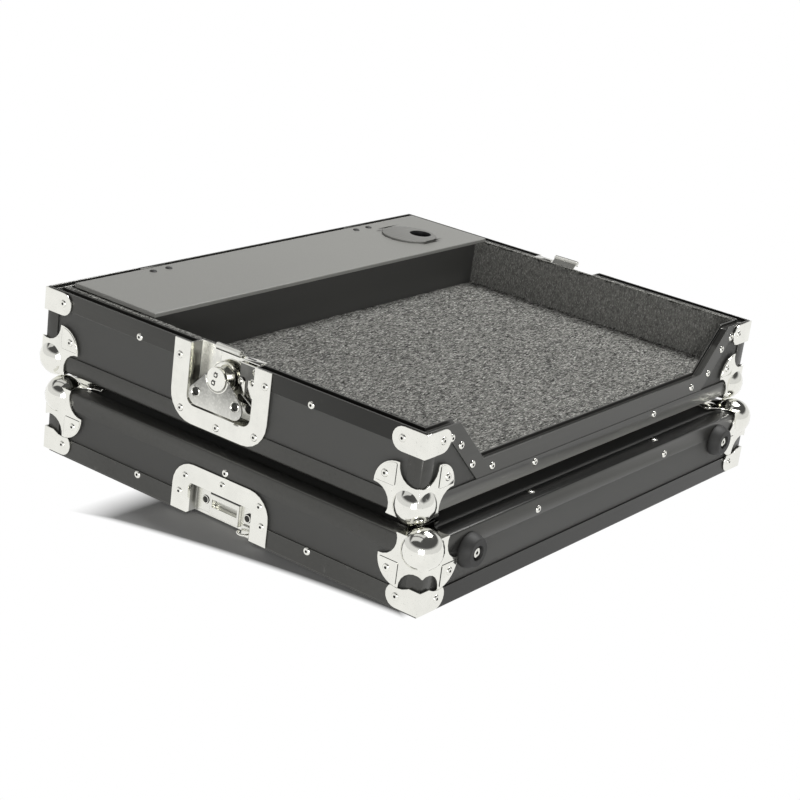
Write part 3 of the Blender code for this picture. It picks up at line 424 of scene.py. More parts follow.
@dataclass(frozen=True)
class Laminate:
    """Charcoal laminate with a fine pebble, a few light scuffs, and a dark seam beside the aluminium that is
    painted shade of the section's step with some dirt.

    The fields from tray_foot on give the bare laminate between the sections: the lid's middle and the tray's
    offset from it, the middle and half height of the bare band on each half, the inner edges of the corner
    angles on the long and short faces, and the slanted rim of the cut-away.
    """

    name: str = "charcoal_laminate"
    level: float = 70.0
    seam: float = 1.0 * MM
    seam_level: float = 16.0
    tray_foot: float = 71.5 * MM
    lid_middle: Point2 = (-4.7 * MM, -12.1 * MM)
    tray_offset: Point2 = (9.4 * MM, 20.0 * MM)
    lid_band: Point2 = (34.35 * MM, 14.85 * MM)
    tray_band: Point2 = (114.95 * MM, 21.15 * MM)
    posts: Point2 = (256.75 * MM, 203.5 * MM)
    slope_corner: Point2 = (227.0 * MM, 153.1 * MM)
    slope_normal: Point2 = (0.703, 0.711)
    slope_width: float = 17.0 * MM

    def inward(self, recipe: Recipe) -> Wire:
        """Distance from the nearest aluminium section, in metres, on the faces that it frames.

        Args:
            recipe: the material under construction.

        Returns:
            The distance.
        """
        x, y, z = (recipe.axis(index) for index in range(3))
        on_tray = z.step(self.tray_foot, 1.0 * MM)
        across = (x - (on_tray * self.tray_offset[0] + self.lid_middle[0])).size()
        along = y - (on_tray * self.tray_offset[1] + self.lid_middle[1])
        on_lid_band = self.lid_band[1] - (z - self.lid_band[0]).size()
        on_tray_band = self.tray_band[1] - (z - self.tray_band[0]).size()
        band = on_lid_band.most(on_tray_band)
        between_posts = (self.posts[0] - across).most(self.posts[1] - along.size())
        rise = (z - self.slope_corner[1]) * self.slope_normal[1]
        slope = (across - self.slope_corner[0]) * self.slope_normal[0] - rise - self.slope_width
        behind = along.step(0.0, 1.0 * MM)
        return band.least(between_posts).least(slope + behind + (1 - on_tray))

    def build(self) -> bpy.types.Material:
        """Makes the material.

        Returns:
            The material.
        """
        recipe = Recipe(self.name)
        cloud = recipe.noise(scale=7.0, detail=4.0, rough=0.55)
        grain = recipe.noise(scale=1400.0, detail=2.0, rough=0.5)
        scuff = recipe.noise(scale=38.0, detail=5.0, rough=0.72, stretch=(1.0, 1.0, 2.5)).step(0.70, 0.07)
        base = recipe.blend(srgb(self.level - 8, WARM), srgb(self.level + 9, WARM), cloud)
        base = recipe.blend(base, srgb(self.level + 40, WARM), scuff * 0.3)
        inward = self.inward(recipe)
        # Painted shade of the section's step, with some dirt, in the seam beside the aluminium.
        seam_shade_and_dirt = inward.step(-0.6 * MM, 0.4 * MM) - inward.step(self.seam, 0.5 * MM)
        base = recipe.blend(base, srgb(self.seam_level), seam_shade_and_dirt * 0.9)
        # The lid's upward ledge takes painted shade from Ledge.
        recipe.feed("Base Color", Ledge().over(recipe, base))
        recipe.feed("Roughness", 0.36 + cloud * 0.14)
        recipe.bump(grain, depth=0.03 * MM, strength=0.35)
        return recipe.material


@dataclass(frozen=True)
class NickelPlate:
    """Nickel on pressed steel, with soft ripples and handling smears, and painted shade above its lintel."""

    name: str = "bright_nickel_plate"
    level: float = 240.0
    rough: float = 0.05
    metal: float = 1.0
    lintel: float = 1.0
    shade: float = 60.0

    def build(self) -> bpy.types.Material:
        """Makes the material.

        Returns:
            The material.
        """
        recipe = Recipe(self.name)
        smear = recipe.noise(scale=45.0, detail=4.0, rough=0.62)
        ripple = recipe.noise(scale=95.0, detail=2.0, rough=0.5)
        speck = recipe.noise(scale=620.0, detail=3.0, rough=0.6).step(0.66, 0.08)
        base = recipe.blend(srgb(self.level - 12, WARM), srgb(self.level, WARM), smear.step(0.5, 0.5))
        base = recipe.blend(base, srgb(self.level - 60, WARM), speck * 0.3)
        # Painted shade above the lintel.
        above = recipe.axis(2).step(self.lintel, 0.8 * MM)
        recipe.feed("Base Color", recipe.blend(base, srgb(self.shade, WARM), above))
        recipe.feed("Metallic", self.metal)
        recipe.feed("Roughness", self.rough + smear * 0.10)
        recipe.bump(ripple, depth=0.12 * MM, strength=0.3)
        return recipe.material


@dataclass(frozen=True)
class PressedPan:
    """Nickel that is bright on the flange and a little duller down in the recess, with painted shade on the
    recess's side walls.

    A latch's pan has painted shade in the pocket beside the hook, given by its middle and half width along
    the wall, its foot and its top. A keeper's pan has painted shade above its lintel instead.
    """

    name: str = "nickel_pan"
    centre: float = 4.7 * MM
    middle: float = 7.9 * MM
    half_width: float = 271.75 * MM
    half_recess: float = 36.8 * MM
    lip: float = 1.8 * MM
    fold: float = 2.5 * MM
    flange: float = 240.0
    recess: float = 236.0
    wall_level: float = 120.0
    pocket: tuple[float, float, float, float] | None = (-26.2 * MM, 10.6 * MM, 114.8 * MM, 149.6 * MM)
    pocket_level: float = 58.0
    lintel: float = 25.6 * MM
    lintel_level: float = 84.0
    frost: float = 0.08

    def run(self, recipe: Recipe) -> Wire:
        """Place along the wall from the pan's middle; the right latch's pan is the left one turned.

        Args:
            recipe: the material under construction.

        Returns:
            The place in metres.
        """
        along = recipe.axis(1) - self.middle
        if not self.pocket:
            return along
        right = (recipe.axis(0) - self.centre).step(0.0, 1.0 * MM)
        return along * (1 - right * 2.0)

    def shade(self, recipe: Recipe, base: Wire, depth: Wire, smear: Wire) -> Wire:
        """Paints shade in the latch's pocket, or in the keeper's recess above its lintel.

        Args:
            recipe: the material under construction.
            base: the colour so far.
            depth: depth behind the wall's face.
            smear: the pattern of the smears.

        Returns:
            The colour.
        """
        height = recipe.axis(2)
        if not self.pocket:
            # Painted shade under the keeper's top flange.
            above = height.step(self.lintel, 0.8 * MM) * depth.step(self.lip, 0.4 * MM)
            return recipe.blend(base, srgb(self.lintel_level, WARM), above * 0.9)
        middle, half, foot, top = self.pocket
        # Painted shade in the latch's pocket beside the hook.
        beside = 1 - (self.run(recipe) - middle).size().step(half, 0.4 * MM)
        tall = height.step(foot, 0.4 * MM) - height.step(top, 0.4 * MM)
        inside = beside * tall * depth.step(self.fold, 0.5 * MM)
        return recipe.blend(base, srgb(self.pocket_level, WARM), inside * (0.6 + smear * 0.5))

    def build(self) -> bpy.types.Material:
        """Makes the material.

        Returns:
            The material.
        """
        recipe = Recipe(self.name)
        smear = recipe.noise(scale=52.0, detail=4.0, rough=0.62)
        ripple = recipe.noise(scale=110.0, detail=2.0, rough=0.5)
        depth = self.half_width - (recipe.axis(0) - self.centre).size()
        sunk = depth.step(self.fold, 5.0 * MM)
        bright = recipe.blend(srgb(self.flange - 12, WARM), srgb(self.flange, WARM), smear.step(0.5, 0.5))
        dull = recipe.blend(srgb(self.recess - 26, WARM), srgb(self.recess + 10, WARM), smear.step(0.5, 0.4))
        base = self.shade(recipe, recipe.blend(bright, dull, sunk), depth, smear)
        # Painted shade on the recess's side walls.
        walls = self.run(recipe).size().step(self.half_recess, 0.3 * MM) * depth.step(self.lip, 0.4 * MM)
        recipe.feed("Base Color", recipe.blend(base, srgb(self.wall_level, WARM), walls * 0.85))
        recipe.feed("Metallic", 1.0)
        recipe.feed("Roughness", 0.08 + smear * 0.10 + sunk * self.frost)
        recipe.bump(ripple, depth=0.12 * MM, strength=0.4)
        return recipe.material


@dataclass(frozen=True)
class TumbledSteel:
    """Darker tumbled steel with a speckled, slightly pitted skin."""

    name: str = "tumbled_steel"
    level: float = 158.0
    rough: float = 0.24

    def build(self) -> bpy.types.Material:
        """Makes the material.

        Returns:
            The material.
        """
        recipe = Recipe(self.name)
        smear = recipe.noise(scale=26.0, detail=3.0, rough=0.6)
        speck = recipe.noise(scale=480.0, detail=3.0, rough=0.65).step(0.56, 0.2)
        base = recipe.blend(srgb(self.level - 30, WARM), srgb(self.level + 16, WARM), smear.step(0.5, 0.5))
        recipe.feed("Base Color", recipe.blend(base, srgb(self.level + 34, WARM), speck * 0.25))
        recipe.feed("Metallic", 1.0)
        recipe.feed("Roughness", self.rough + smear * 0.16)
        recipe.bump(speck, depth=0.04 * MM, strength=0.5)
        return recipe.material


@dataclass(frozen=True)
class WingSteel:
    """Tumbled steel that grows darker from the low to the high level of the wing, as a painted reflection."""

    name: str = "wing_steel"
    low: float = 97.0 * MM
    high: float = 127.0 * MM
    light: float = 232.0
    dark: float = 122.0

    def build(self) -> bpy.types.Material:
        """Makes the material.

        Returns:
            The material.
        """
        recipe = Recipe(self.name)
        smear = recipe.noise(scale=40.0, detail=4.0, rough=0.65)
        speck = recipe.noise(scale=520.0, detail=3.0, rough=0.65).step(0.58, 0.2)
        # Painted reflection: darker toward the top of the wing.
        rise = recipe.axis(2).step((self.low + self.high) / 2, self.high - self.low)
        height = rise * 0.8 + smear.step(0.5, 0.4) * 0.3
        base = recipe.blend(srgb(self.light, WARM), srgb(self.dark, WARM), height)
        recipe.feed("Base Color", recipe.blend(base, srgb(self.light + 30, WARM), speck * 0.25))
        recipe.feed("Metallic", 1.0)
        recipe.feed("Roughness", 0.26 + smear * 0.14)
        recipe.bump(smear, depth=0.08 * MM, strength=0.4)
        return recipe.material


@dataclass(frozen=True)
class MouldedRubber:
    """Matt black rubber."""

    name: str = "moulded_rubber"
    level: float = 40.0

    def build(self) -> bpy.types.Material:
        """Makes the material.

        Returns:
            The material.
        """
        recipe = Recipe(self.name)
        cloud = recipe.noise(scale=60.0, detail=3.0, rough=0.6)
        grain = recipe.noise(scale=2200.0, detail=2.0, rough=0.6)
        recipe.feed("Base Color", recipe.blend(srgb(self.level - 8), srgb(self.level + 8, WARM), cloud))
        recipe.feed("Roughness", 0.5 + cloud * 0.2)
        recipe.bump(grain, depth=0.03 * MM, strength=0.4)
        return recipe.material


@dataclass(frozen=True)
class CellFoam:
    """Charcoal open-cell foam."""

    name: str = "open_cell_foam"
    level: float = 50.0

    def build(self) -> bpy.types.Material:
        """Makes the material.

        Returns:
            The material.
        """
        recipe = Recipe(self.name)
        cell = recipe.noise(scale=700.0, detail=3.0, rough=0.6)
        cloud = recipe.noise(scale=12.0, detail=3.0, rough=0.5)
        pattern = cell.step(0.5, 0.3) * 0.7 + cloud * 0.3
        recipe.feed("Base Color", recipe.blend(srgb(self.level - 26), srgb(self.level + 14), pattern))
        recipe.feed("Roughness", 0.95)
        recipe.feed("Specular IOR Level", 0.15)
        recipe.bump(cell, depth=0.8 * MM, strength=0.7)
        return recipe.material


@dataclass(frozen=True)
class NeedleCarpet:
    """Speckled needle felt: light and dark fibres in short curls."""

    name: str = "needle_felt_carpet"
    dark: float = 30.0
    light: float = 210.0
    upright_level: float = 124.0

    def build(self) -> bpy.types.Material:
        """Makes the material.

        Returns:
            The material.
        """
        recipe = Recipe(self.name)
        curl = recipe.noise(scale=300.0, detail=3.0, rough=0.6, stretch=(0.75, 2.2, 1.0))
        tuft = recipe.noise(scale=150.0, detail=4.0, rough=0.62, stretch=(1.0, 1.6, 1.0))
        fleck = recipe.noise(scale=360.0, detail=2.0, rough=0.6, stretch=(0.8, 2.6, 1.2)).step(0.60, 0.10)
        pit = recipe.noise(scale=330.0, detail=2.0, rough=0.6, stretch=(0.9, 2.0, 1.0)).step(0.60, 0.10)
        cloud = recipe.noise(scale=14.0, detail=3.0, rough=0.5)
        pattern = curl.step(0.5, 0.16) * 0.5 + tuft.step(0.5, 0.2) * 0.4 + cloud * 0.1
        base = recipe.blend(srgb(self.dark, WARM), srgb(self.light - 70, WARM), pattern)
        base = recipe.blend(base, srgb(self.light, WARM), fleck * 0.7)
        base = recipe.blend(base, srgb(self.dark - 16, WARM), pit * 0.7)
        upright = 1 - recipe.facing(2).size().step(0.5, 0.4)
        recipe.feed("Base Color", recipe.blend(base, srgb(self.upright_level, WARM), upright * 0.5))
        recipe.feed("Roughness", 0.95)
        recipe.feed("Specular IOR Level", 0.15)
        recipe.bump(curl * 0.6 + tuft * 0.4, depth=1.6 * MM, strength=1.0)
        return recipe.material


@dataclass(frozen=True)
class SatinPanel:
    """Light grey satin sheet of the cover."""

    name: str = "grey_satin_sheet"
    level: float = 134.0

    def build(self) -> bpy.types.Material:
        """Makes the material.

        Returns:
            The material.
        """
        recipe = Recipe(self.name)
        cloud = recipe.noise(scale=6.0, detail=3.0, rough=0.5)
        grain = recipe.noise(scale=1600.0, detail=2.0, rough=0.5)
        fine = recipe.noise(scale=900.0, detail=2.0, rough=0.5).step(0.6, 0.2)
        base = recipe.blend(srgb(self.level - 5, WARM), srgb(self.level + 5, WARM), cloud)
        recipe.feed("Base Color", recipe.blend(base, srgb(self.level + 16, WARM), fine * 0.4))
        recipe.feed("Roughness", 0.42 + cloud * 0.08)
        recipe.bump(grain, depth=0.02 * MM, strength=0.3)
        return recipe.material


@dataclass(frozen=True)
class BoredMoulding:
    """Grey moulding with painted shade, near black, down its round cable hole."""

    name: str = "bored_grey_moulding"
    level: float = 118.0
    bore_level: float = 14.0
    hole: Point2 = (196.85 * MM, 150.8 * MM)
    radius: float = 11.7 * MM

    def build(self) -> bpy.types.Material:
        """Makes the material.

        Returns:
            The material.
        """
        recipe = Recipe(self.name)
        cloud = recipe.noise(scale=30.0, detail=3.0, rough=0.5)
        grain = recipe.noise(scale=1600.0, detail=2.0, rough=0.5)
        across = recipe.axis(0) - self.hole[0]
        along = recipe.axis(1) - self.hole[1]
        # Painted shade down the cable hole.
        outside = ((across * across + along * along) ** 0.5).step(self.radius, 0.3 * MM)
        face = recipe.blend(srgb(self.level - 5, WARM), srgb(self.level + 5, WARM), cloud)
        recipe.feed("Base Color", recipe.blend(srgb(self.bore_level), face, outside))
        recipe.feed("Roughness", 0.5 + cloud * 0.1)
        recipe.bump(grain, depth=0.02 * MM, strength=0.3)
        return recipe.material


class Finish(Enum):
    """The finishes of the case, each with the record's slot that it stands for."""

    EXTRUSION_X = (SatinExtrusion(), "black_anodised_aluminium")
    EXTRUSION_Y = (SatinExtrusion(name="black_anodised_extrusion_y", along=1), "black_anodised_aluminium")
    LAMINATE = (Laminate(), "charcoal_laminate")
    NICKEL = (NickelPlate(), "bright_nickel_steel")
    LATCH_PAN = (PressedPan(), "bright_nickel_steel")
    KEEPER_PAN = (
        PressedPan(name="nickel_keeper_pan", centre=-4.7 * MM, middle=-12.1 * MM, pocket=None, frost=0.2),
        "bright_nickel_steel",
    )
    WING = (WingSteel(), "bright_nickel_steel")
    SATIN_NICKEL = (
        NickelPlate(name="satin_nickel_plate", level=242.0, rough=0.26, metal=0.5),
        "bright_nickel_steel",
    )
    KEEPER_PLATE = (
        NickelPlate(name="nickel_keeper_plate", level=236.0, rough=0.18, lintel=26.4 * MM),
        "bright_nickel_steel",
    )
    # Dark steel, which also serves as painted shade in bores, slots, grooves and creases of small parts.
    DARK_STEEL = (TumbledSteel(name="dark_steel_and_painted_shade", level=62.0, rough=0.35), "bright_nickel_steel")
    RUBBER = (MouldedRubber(), "black_rubber")
    CARPET = (NeedleCarpet(), "grey_needle_carpet")
    PANEL = (SatinPanel(), "grey_satin_panel")
    GROMMET = (BoredMoulding(), "black_rubber")
    # A painted highlight on the rounded edges of the rim sections.
    WORN_EDGE = (SatinExtrusion(name="worn_extrusion_edge", level=104.0), "black_anodised_aluminium")
    FOAM = (CellFoam(), "black_foam")

    @property
    def slot(self) -> str:
        """The record's material slot."""
        return self.value[1]

    @property
    def material(self) -> bpy.types.Material:
        """The material, made the first time that it is asked for."""
        name = self.value[0].name
        return bpy.data.materials.get(name) or self.value[0].build()


# Placing


class Wall(Enum):
    """A face of a half: its outward direction and the direction that is up on it."""

    LEFT = ((-1.0, 0.0, 0.0), (0.0, 0.0, 1.0))
    RIGHT = ((1.0, 0.0, 0.0), (0.0, 0.0, 1.0))
    FRONT = ((0.0, -1.0, 0.0), (0.0, 0.0, 1.0))
    BACK = ((0.0, 1.0, 0.0), (0.0, 0.0, 1.0))
    TOP = ((0.0, 0.0, 1.0), (0.0, 1.0, 0.0))
    UNDER = ((0.0, 0.0, -1.0), (0.0, 1.0, 0.0))

    @property
    def out(self) -> Vector:
        """Outward direction."""
        return Vector(self.value[0])

    @property
    def up(self) -> Vector:
        """Upward direction."""
        return Vector(self.value[1])

    @property
    def frame(self) -> Matrix:
        """Turn that brings Z outward and Y up."""
        return Matrix((self.up.cross(self.out), self.up, self.out)).transposed().to_4x4()

    @property
    def flat(self) -> bool:
        """Whether it is a top or an underside."""
        return self in (Wall.TOP, Wall.UNDER)

    @property
    def sense(self) -> float:
        """1 where places along the face grow to the right, seen from outside, and -1 where to the left."""
        return 1.0 if self in (Wall.FRONT, Wall.BACK, Wall.TOP) else -1.0

    def half(self, shell: Shell) -> float:
        """Half the face's length.

        Args:
            shell: the half of the case.

        Returns:
            The half length in metres.
        """
        return shell.half_depth if self in (Wall.LEFT, Wall.RIGHT) else shell.half_width


@dataclass(frozen=True)
class Shell:
    """One half of the case: its middle, the level that heights are counted from, and its size."""

    prefix: str
    middle: Point2
    level: float
    height: float
    half_width: float = 271.75 * MM
    half_depth: float = 218.5 * MM

    def spot(self, wall: Wall, along: float, height: float) -> Vector:
        """A point well outside a face.

        Args:
            wall: the face.
            along: place along the face from its middle; the right and back are the left and front turned.
            height: height above the half's level, or Y on a top or bottom.

        Returns:
            The point in the frame.
        """
        x, y = self.middle
        if wall is Wall.LEFT:
            return Vector((x - self.half_width - STAND_OFF, y + along, self.level + height))
        if wall is Wall.RIGHT:
            return Vector((x + self.half_width + STAND_OFF, y - along, self.level + height))
        if wall is Wall.FRONT:
            return Vector((x + along, y - self.half_depth - STAND_OFF, self.level + height))
        if wall is Wall.BACK:
            return Vector((x - along, y + self.half_depth + STAND_OFF, self.level + height))
        if wall is Wall.TOP:
            return Vector((x + along, y + height, self.level + self.height + STAND_OFF))
        return Vector((x + along, y + height, self.level - STAND_OFF))


BASE_SHELL = Shell("base", (4.7 * MM, 7.9 * MM), 76.8 * MM, 76.3 * MM)
LID_SHELL = Shell("lid", (-4.7 * MM, -12.1 * MM), 2.5 * MM, 63.7 * MM)


@dataclass(frozen=True)
class Named:
    """Picks solids by how their names start and end."""

    starts: tuple[str, ...]
    end: str = ""

    def __call__(self, name: str) -> bool:
        """Whether a solid is picked."""
        return name.startswith(self.starts) and name.endswith(self.end)


@dataclass
class Ground:
    """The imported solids, as something to set small parts down on."""

    nodes: dict[str, bpy.types.Object]
    trees: dict[str, BVHTree] = field(default_factory=dict)

    def tree(self, name: str) -> BVHTree:
        """Search tree of one solid.

        Args:
            name: the node's name.

        Returns:
            The tree.
        """
        if name not in self.trees:
            mesh = bmesh.new()
            mesh.from_mesh(self.nodes[name].data)
            self.trees[name] = BVHTree.FromBMesh(mesh)
            mesh.free()
        return self.trees[name]

    def seat(
        self, spot: Vector, wall: Wall, solids: Named, turn: float = 0.0, lift: float = 0.0
    ) -> Matrix | None:
        """Finds the surface under a point and returns a place on it.

        Args:
            spot: a point outside the face.
            wall: the face, which gives the outward direction.
            solids: the solids that count.
            turn: turn about the outward direction in degrees.
            lift: distance above the surface.

        Returns:
            A place with Z outward and Y up, or None where there is nothing.
        """
        best: tuple[float, Vector] | None = None
        for name in filter(solids, self.nodes):
            hit, _, _, distance = self.tree(name).ray_cast(spot, -wall.out, REACH)
            if hit is not None and (best is None or distance < best[0]):
                best = (distance, hit)
        if best is None:
            return None
        turned_round = Matrix.Rotation(math.radians(turn), 4, "Z")
        return Matrix.Translation(best[1] + wall.out * lift) @ wall.frame @ turned_round


# Shapes


@dataclass(frozen=True)
class Band:
    """Picks faces of a small shape by their distance from its axis in millimetres, or else all."""

    inner: float = -1.0
    outer: float = 1000.0

    def __call__(self, middle: Vector) -> bool:
        """Whether a face with this middle is picked."""
        return self.inner * MM < middle.xy.length < self.outer * MM


def turned(profile: Sequence[Point2], steps: int = 20, angle: float = 360.0) -> bmesh.types.BMesh:
    """Spins a profile round Z.

    Args:
        profile: radius and height of each corner, in millimetres.
        steps: steps round the turn.
        angle: the turn in degrees.

    Returns:
        The shape in metres.
    """
    mesh = bmesh.new()
    verts = [mesh.verts.new((radius * MM, 0.0, height * MM)) for radius, height in profile]
    edges = [mesh.edges.new(pair) for pair in zip(verts, verts[1:])]
    full = angle >= 360.0
    bmesh.ops.spin(
        mesh,
        geom=[*verts, *edges],
        cent=(0.0, 0.0, 0.0),
        axis=(0.0, 0.0, 1.0),
        angle=math.radians(angle),
        steps=steps,
        use_merge=full,
    )
    bmesh.ops.remove_doubles(mesh, verts=mesh.verts, dist=SAME_SPOT)
    bmesh.ops.recalc_face_normals(mesh, faces=mesh.faces)
    return mesh


def rod(points: Sequence[Vector], radius: float, sides: int = 12) -> bmesh.types.BMesh:
    """Sweeps a round section along a few points.

    Args:
        points: the path.
        radius: the section's radius.
        sides: the section's sides.

    Returns:
        The closed rod.
    """
    mesh = bmesh.new()
    start = bmesh.ops.create_circle(mesh, cap_ends=True, segments=sides, radius=radius)
    face = mesh.faces[:][0]
    aim = (points[1] - points[0]).normalized()
    turn = Vector((0.0, 0.0, 1.0)).rotation_difference(aim)
    place = Matrix.Translation(points[0]) @ turn.to_matrix().to_4x4()
    bmesh.ops.transform(mesh, matrix=place, verts=start["verts"])
    ring = [face]
    for index, point in enumerate(points[1:], 1):
        before = (point - points[index - 1]).normalized()
        after = (points[index + 1] - point).normalized() if index + 1 < len(points) else before
        grown = bmesh.ops.extrude_face_region(mesh, geom=ring, use_keep_orig=index == 1)
        verts = [item for item in grown["geom"] if isinstance(item, bmesh.types.BMVert)]
        ring = [item for item in grown["geom"] if isinstance(item, bmesh.types.BMFace)]
        middle = sum((vert.co for vert in verts), Vector()) / len(verts)
        bend = before.rotation_difference((before + after).normalized()).to_matrix().to_4x4()
        aim_turn = aim.rotation_difference(before).to_matrix().to_4x4()
        place = Matrix.Translation(point) @ bend @ aim_turn @ Matrix.Translation(-middle)
        bmesh.ops.transform(mesh, matrix=place, verts=verts)
        aim = (before + after).normalized()
    bmesh.ops.recalc_face_normals(mesh, faces=mesh.faces)
    return mesh


def pad(radius: float, height: float, round_off: float) -> bmesh.types.BMesh:
    """A low quarter disc with rounded corners and a soft top edge.

    Args:
        radius: its radius.
        height: its thickness.
        round_off: how far each corner is rounded off.

    Returns:
        The shape, its square corner at the origin and its arc toward +X and +Y.
    """
    mesh = turned([(0.0, 0.0), (radius / MM, 0.0)], 10, 90.0)
    bmesh.ops.dissolve_limit(mesh, angle_limit=math.radians(1.0), verts=mesh.verts, edges=mesh.edges)
    corners = [vert for vert in mesh.verts if sum(abs(part) < SAME_SPOT for part in vert.co) > 1]
    bmesh.ops.bevel(
        mesh, geom=corners, offset=round_off, segments=4, profile=0.5, affect="VERTICES", material=-1
    )
    grown = bmesh.ops.extrude_face_region(mesh, geom=mesh.faces[:], use_keep_orig=True)
    top = [item for item in grown["geom"] if isinstance(item, bmesh.types.BMVert)]
    bmesh.ops.translate(mesh, verts=top, vec=(0.0, 0.0, height))
    rim = [edge for edge in mesh.edges if all(vert in top for vert in edge.verts)]
    bmesh.ops.bevel(
        mesh,
        geom=rim,
        offset=height * 0.7,
        segments=2,
        profile=0.5,
        affect="EDGES",
        material=-1,
        clamp_overlap=True,
    )
    bmesh.ops.recalc_face_normals(mesh, faces=mesh.faces)
    return mesh


def discard(*shapes: bmesh.types.BMesh) -> None:
    """Frees shapes whose copies have been set down."""
    for shape in shapes:
        shape.free()


def plate(size: Sequence[float], edge: float) -> bmesh.types.BMesh:
    """A small bevelled block, its foot at z = 0.

    Args:
        size: its size on X, Y and Z.
        edge: the bevel.

    Returns:
        The shape.
    """
    mesh = bmesh.new()
    bmesh.ops.create_cube(mesh, size=1.0)
    bmesh.ops.scale(mesh, vec=size, verts=mesh.verts)
    bmesh.ops.translate(mesh, vec=(0.0, 0.0, size[2] / 2), verts=mesh.verts)
    bmesh.ops.bevel(
        mesh, geom=mesh.edges[:], offset=edge, segments=2, profile=0.5, affect="EDGES", material=-1
    )
    return mesh


@dataclass
class Batch:
    """Collects copies of small shapes into one piece."""

    name: str
    finishes: Sequence[Finish]
    body: str
    mesh: bmesh.types.BMesh = field(default_factory=bmesh.new)
    count: int = 0

    def add(
        self, shape: bmesh.types.BMesh, place: Matrix | None, dark: Callable[[Vector], bool] | None = None
    ) -> None:
        """Sets one copy down.

        Args:
            shape: the shape, which is kept.
            place: where it goes; nothing is added without a place.
            dark: tells from a face's middle whether it takes the second finish.
        """
        if place is None:
            return
        held = bpy.data.meshes.new("held")
        shape.to_mesh(held)
        first, faces = len(self.mesh.verts), len(self.mesh.faces)
        self.mesh.from_mesh(held)
        bpy.data.meshes.remove(held)
        self.mesh.verts.ensure_lookup_table()
        self.mesh.faces.ensure_lookup_table()
        for face in self.mesh.faces[faces:]:
            face.material_index = int(dark is not None and dark(face.calc_center_median()))
        bmesh.ops.transform(self.mesh, matrix=place, verts=self.mesh.verts[first:])
        self.count += 1

    def publish(self, crease: float = 40.0) -> bpy.types.Object | None:
        """Makes the piece, or nothing where nothing was added.

        Args:
            crease: angle in degrees past which an edge stays sharp.

        Returns:
            The piece.
        """
        if not self.count:
            self.mesh.free()
            return None
        return publish(self.mesh, self.name, self.finishes, self.body, crease)


def publish(
    mesh: bmesh.types.BMesh, name: str, finishes: Sequence[Finish], body: str, crease: float = 32.0
) -> bpy.types.Object:
    """Turns a bmesh into a piece that rides on a body.

    Args:
        mesh: the shape, in the frame's coordinates. It is freed.
        name: the piece's name.
        finishes: its finishes, the main one first.
        body: the body's name.
        crease: angle in degrees past which an edge stays sharp.

    Returns:
        The piece.
    """
    data = bpy.data.meshes.new(name)
    mesh.to_mesh(data)
    mesh.free()
    for finish in finishes:
        data.materials.append(finish.material)
    smooth = [face.use_smooth for face in data.polygons]
    normals = data.attributes.get("custom_normal")
    if normals:
        data.attributes.remove(normals)
    data.shade_smooth()
    data.set_sharp_from_angle(angle=math.radians(crease))
    if any(smooth):
        data.polygons.foreach_set("use_smooth", smooth)
    piece = bpy.data.objects.new(name, data)
    bpy.context.scene.collection.objects.link(piece)
    finishes[0].slot
    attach(piece, body)
    LOG.info("%s: %d faces on %s", name, len(data.polygons), body)
    return piece


@dataclass
class Rounder:
    """Replaces a sharp CAD node by a copy with its edges rounded.

    The angles are in degrees: edges flatter than flat are dissolved, those from curve on belong to a curved
    wall, and those past corner are rounded.
    """

    width: float = 0.35 * MM
    segments: int = 2
    corner: float = 28.0
    curve: float = 0.6
    flat: float = 0.5
    merge: float = 0.01 * MM

    def copy(self, node: bpy.types.Object) -> bmesh.types.BMesh:
        """A merged copy of the node with its edges rounded, the new faces in its second finish.

        Args:
            node: the CAD node.

        Returns:
            The shape.
        """
        mesh = bmesh.new()
        mesh.from_mesh(node.data)
        bmesh.ops.remove_doubles(mesh, verts=mesh.verts, dist=self.merge)
        flat, limit = math.radians(self.flat), math.radians(self.corner)
        bmesh.ops.dissolve_limit(mesh, angle_limit=flat, verts=mesh.verts, edges=mesh.edges)
        shared = [edge for edge in mesh.edges if len(edge.link_faces) == 2]
        sharp = [edge for edge in shared if edge.calc_face_angle(0.0) > limit]
        rounded = bmesh.ops.bevel(
            mesh,
            geom=sharp,
            offset=self.width,
            offset_type="OFFSET",
            segments=self.segments,
            profile=0.5,
            affect="EDGES",
            clamp_overlap=True,
            material=-1,
        )
        for face in mesh.faces:
            face.material_index = 0
        for face in rounded["faces"]:
            face.material_index = 1
        for face in mesh.faces:
            face.smooth = face.material_index == 1 or any(self.curves_on(edge) for edge in face.edges)
        return mesh

    def curves_on(self, edge: bmesh.types.BMEdge) -> bool:
        """Whether two of the solid's own faces go on into each other there, as on a cylinder.

        Args:
            edge: an edge of the shape.

        Returns:
            True on a curved wall.
        """
        if len(edge.link_faces) != 2 or any(face.material_index for face in edge.link_faces):
            return False
        return math.radians(self.curve) < edge.calc_face_angle(0.0) < math.radians(self.corner)

    def dress(self, node: bpy.types.Object, finish: Finish) -> bpy.types.Object:
        """Makes the rounded piece that stands for a node.

        Args:
            node: the CAD node.
            finish: its finish.

        Returns:
            The piece.
        """
        edge = finish
        if finish is Finish.WING:
            edge = Finish.NICKEL
        elif node.name.startswith("keeper_plate"):
            # The keeper plate's rounded edges take painted shade as a dark outline.
            edge = Finish.DARK_STEEL
        elif "_closure_" in node.name:
            # The rim sections' rounded edges take a painted highlight.
            edge = Finish.WORN_EDGE
        name = f"{node.name}_piece"
        piece = publish(self.copy(node), name, [finish, edge], node["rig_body"], crease=40.0)
        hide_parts(node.name)
        return piece


# Sub-assemblies


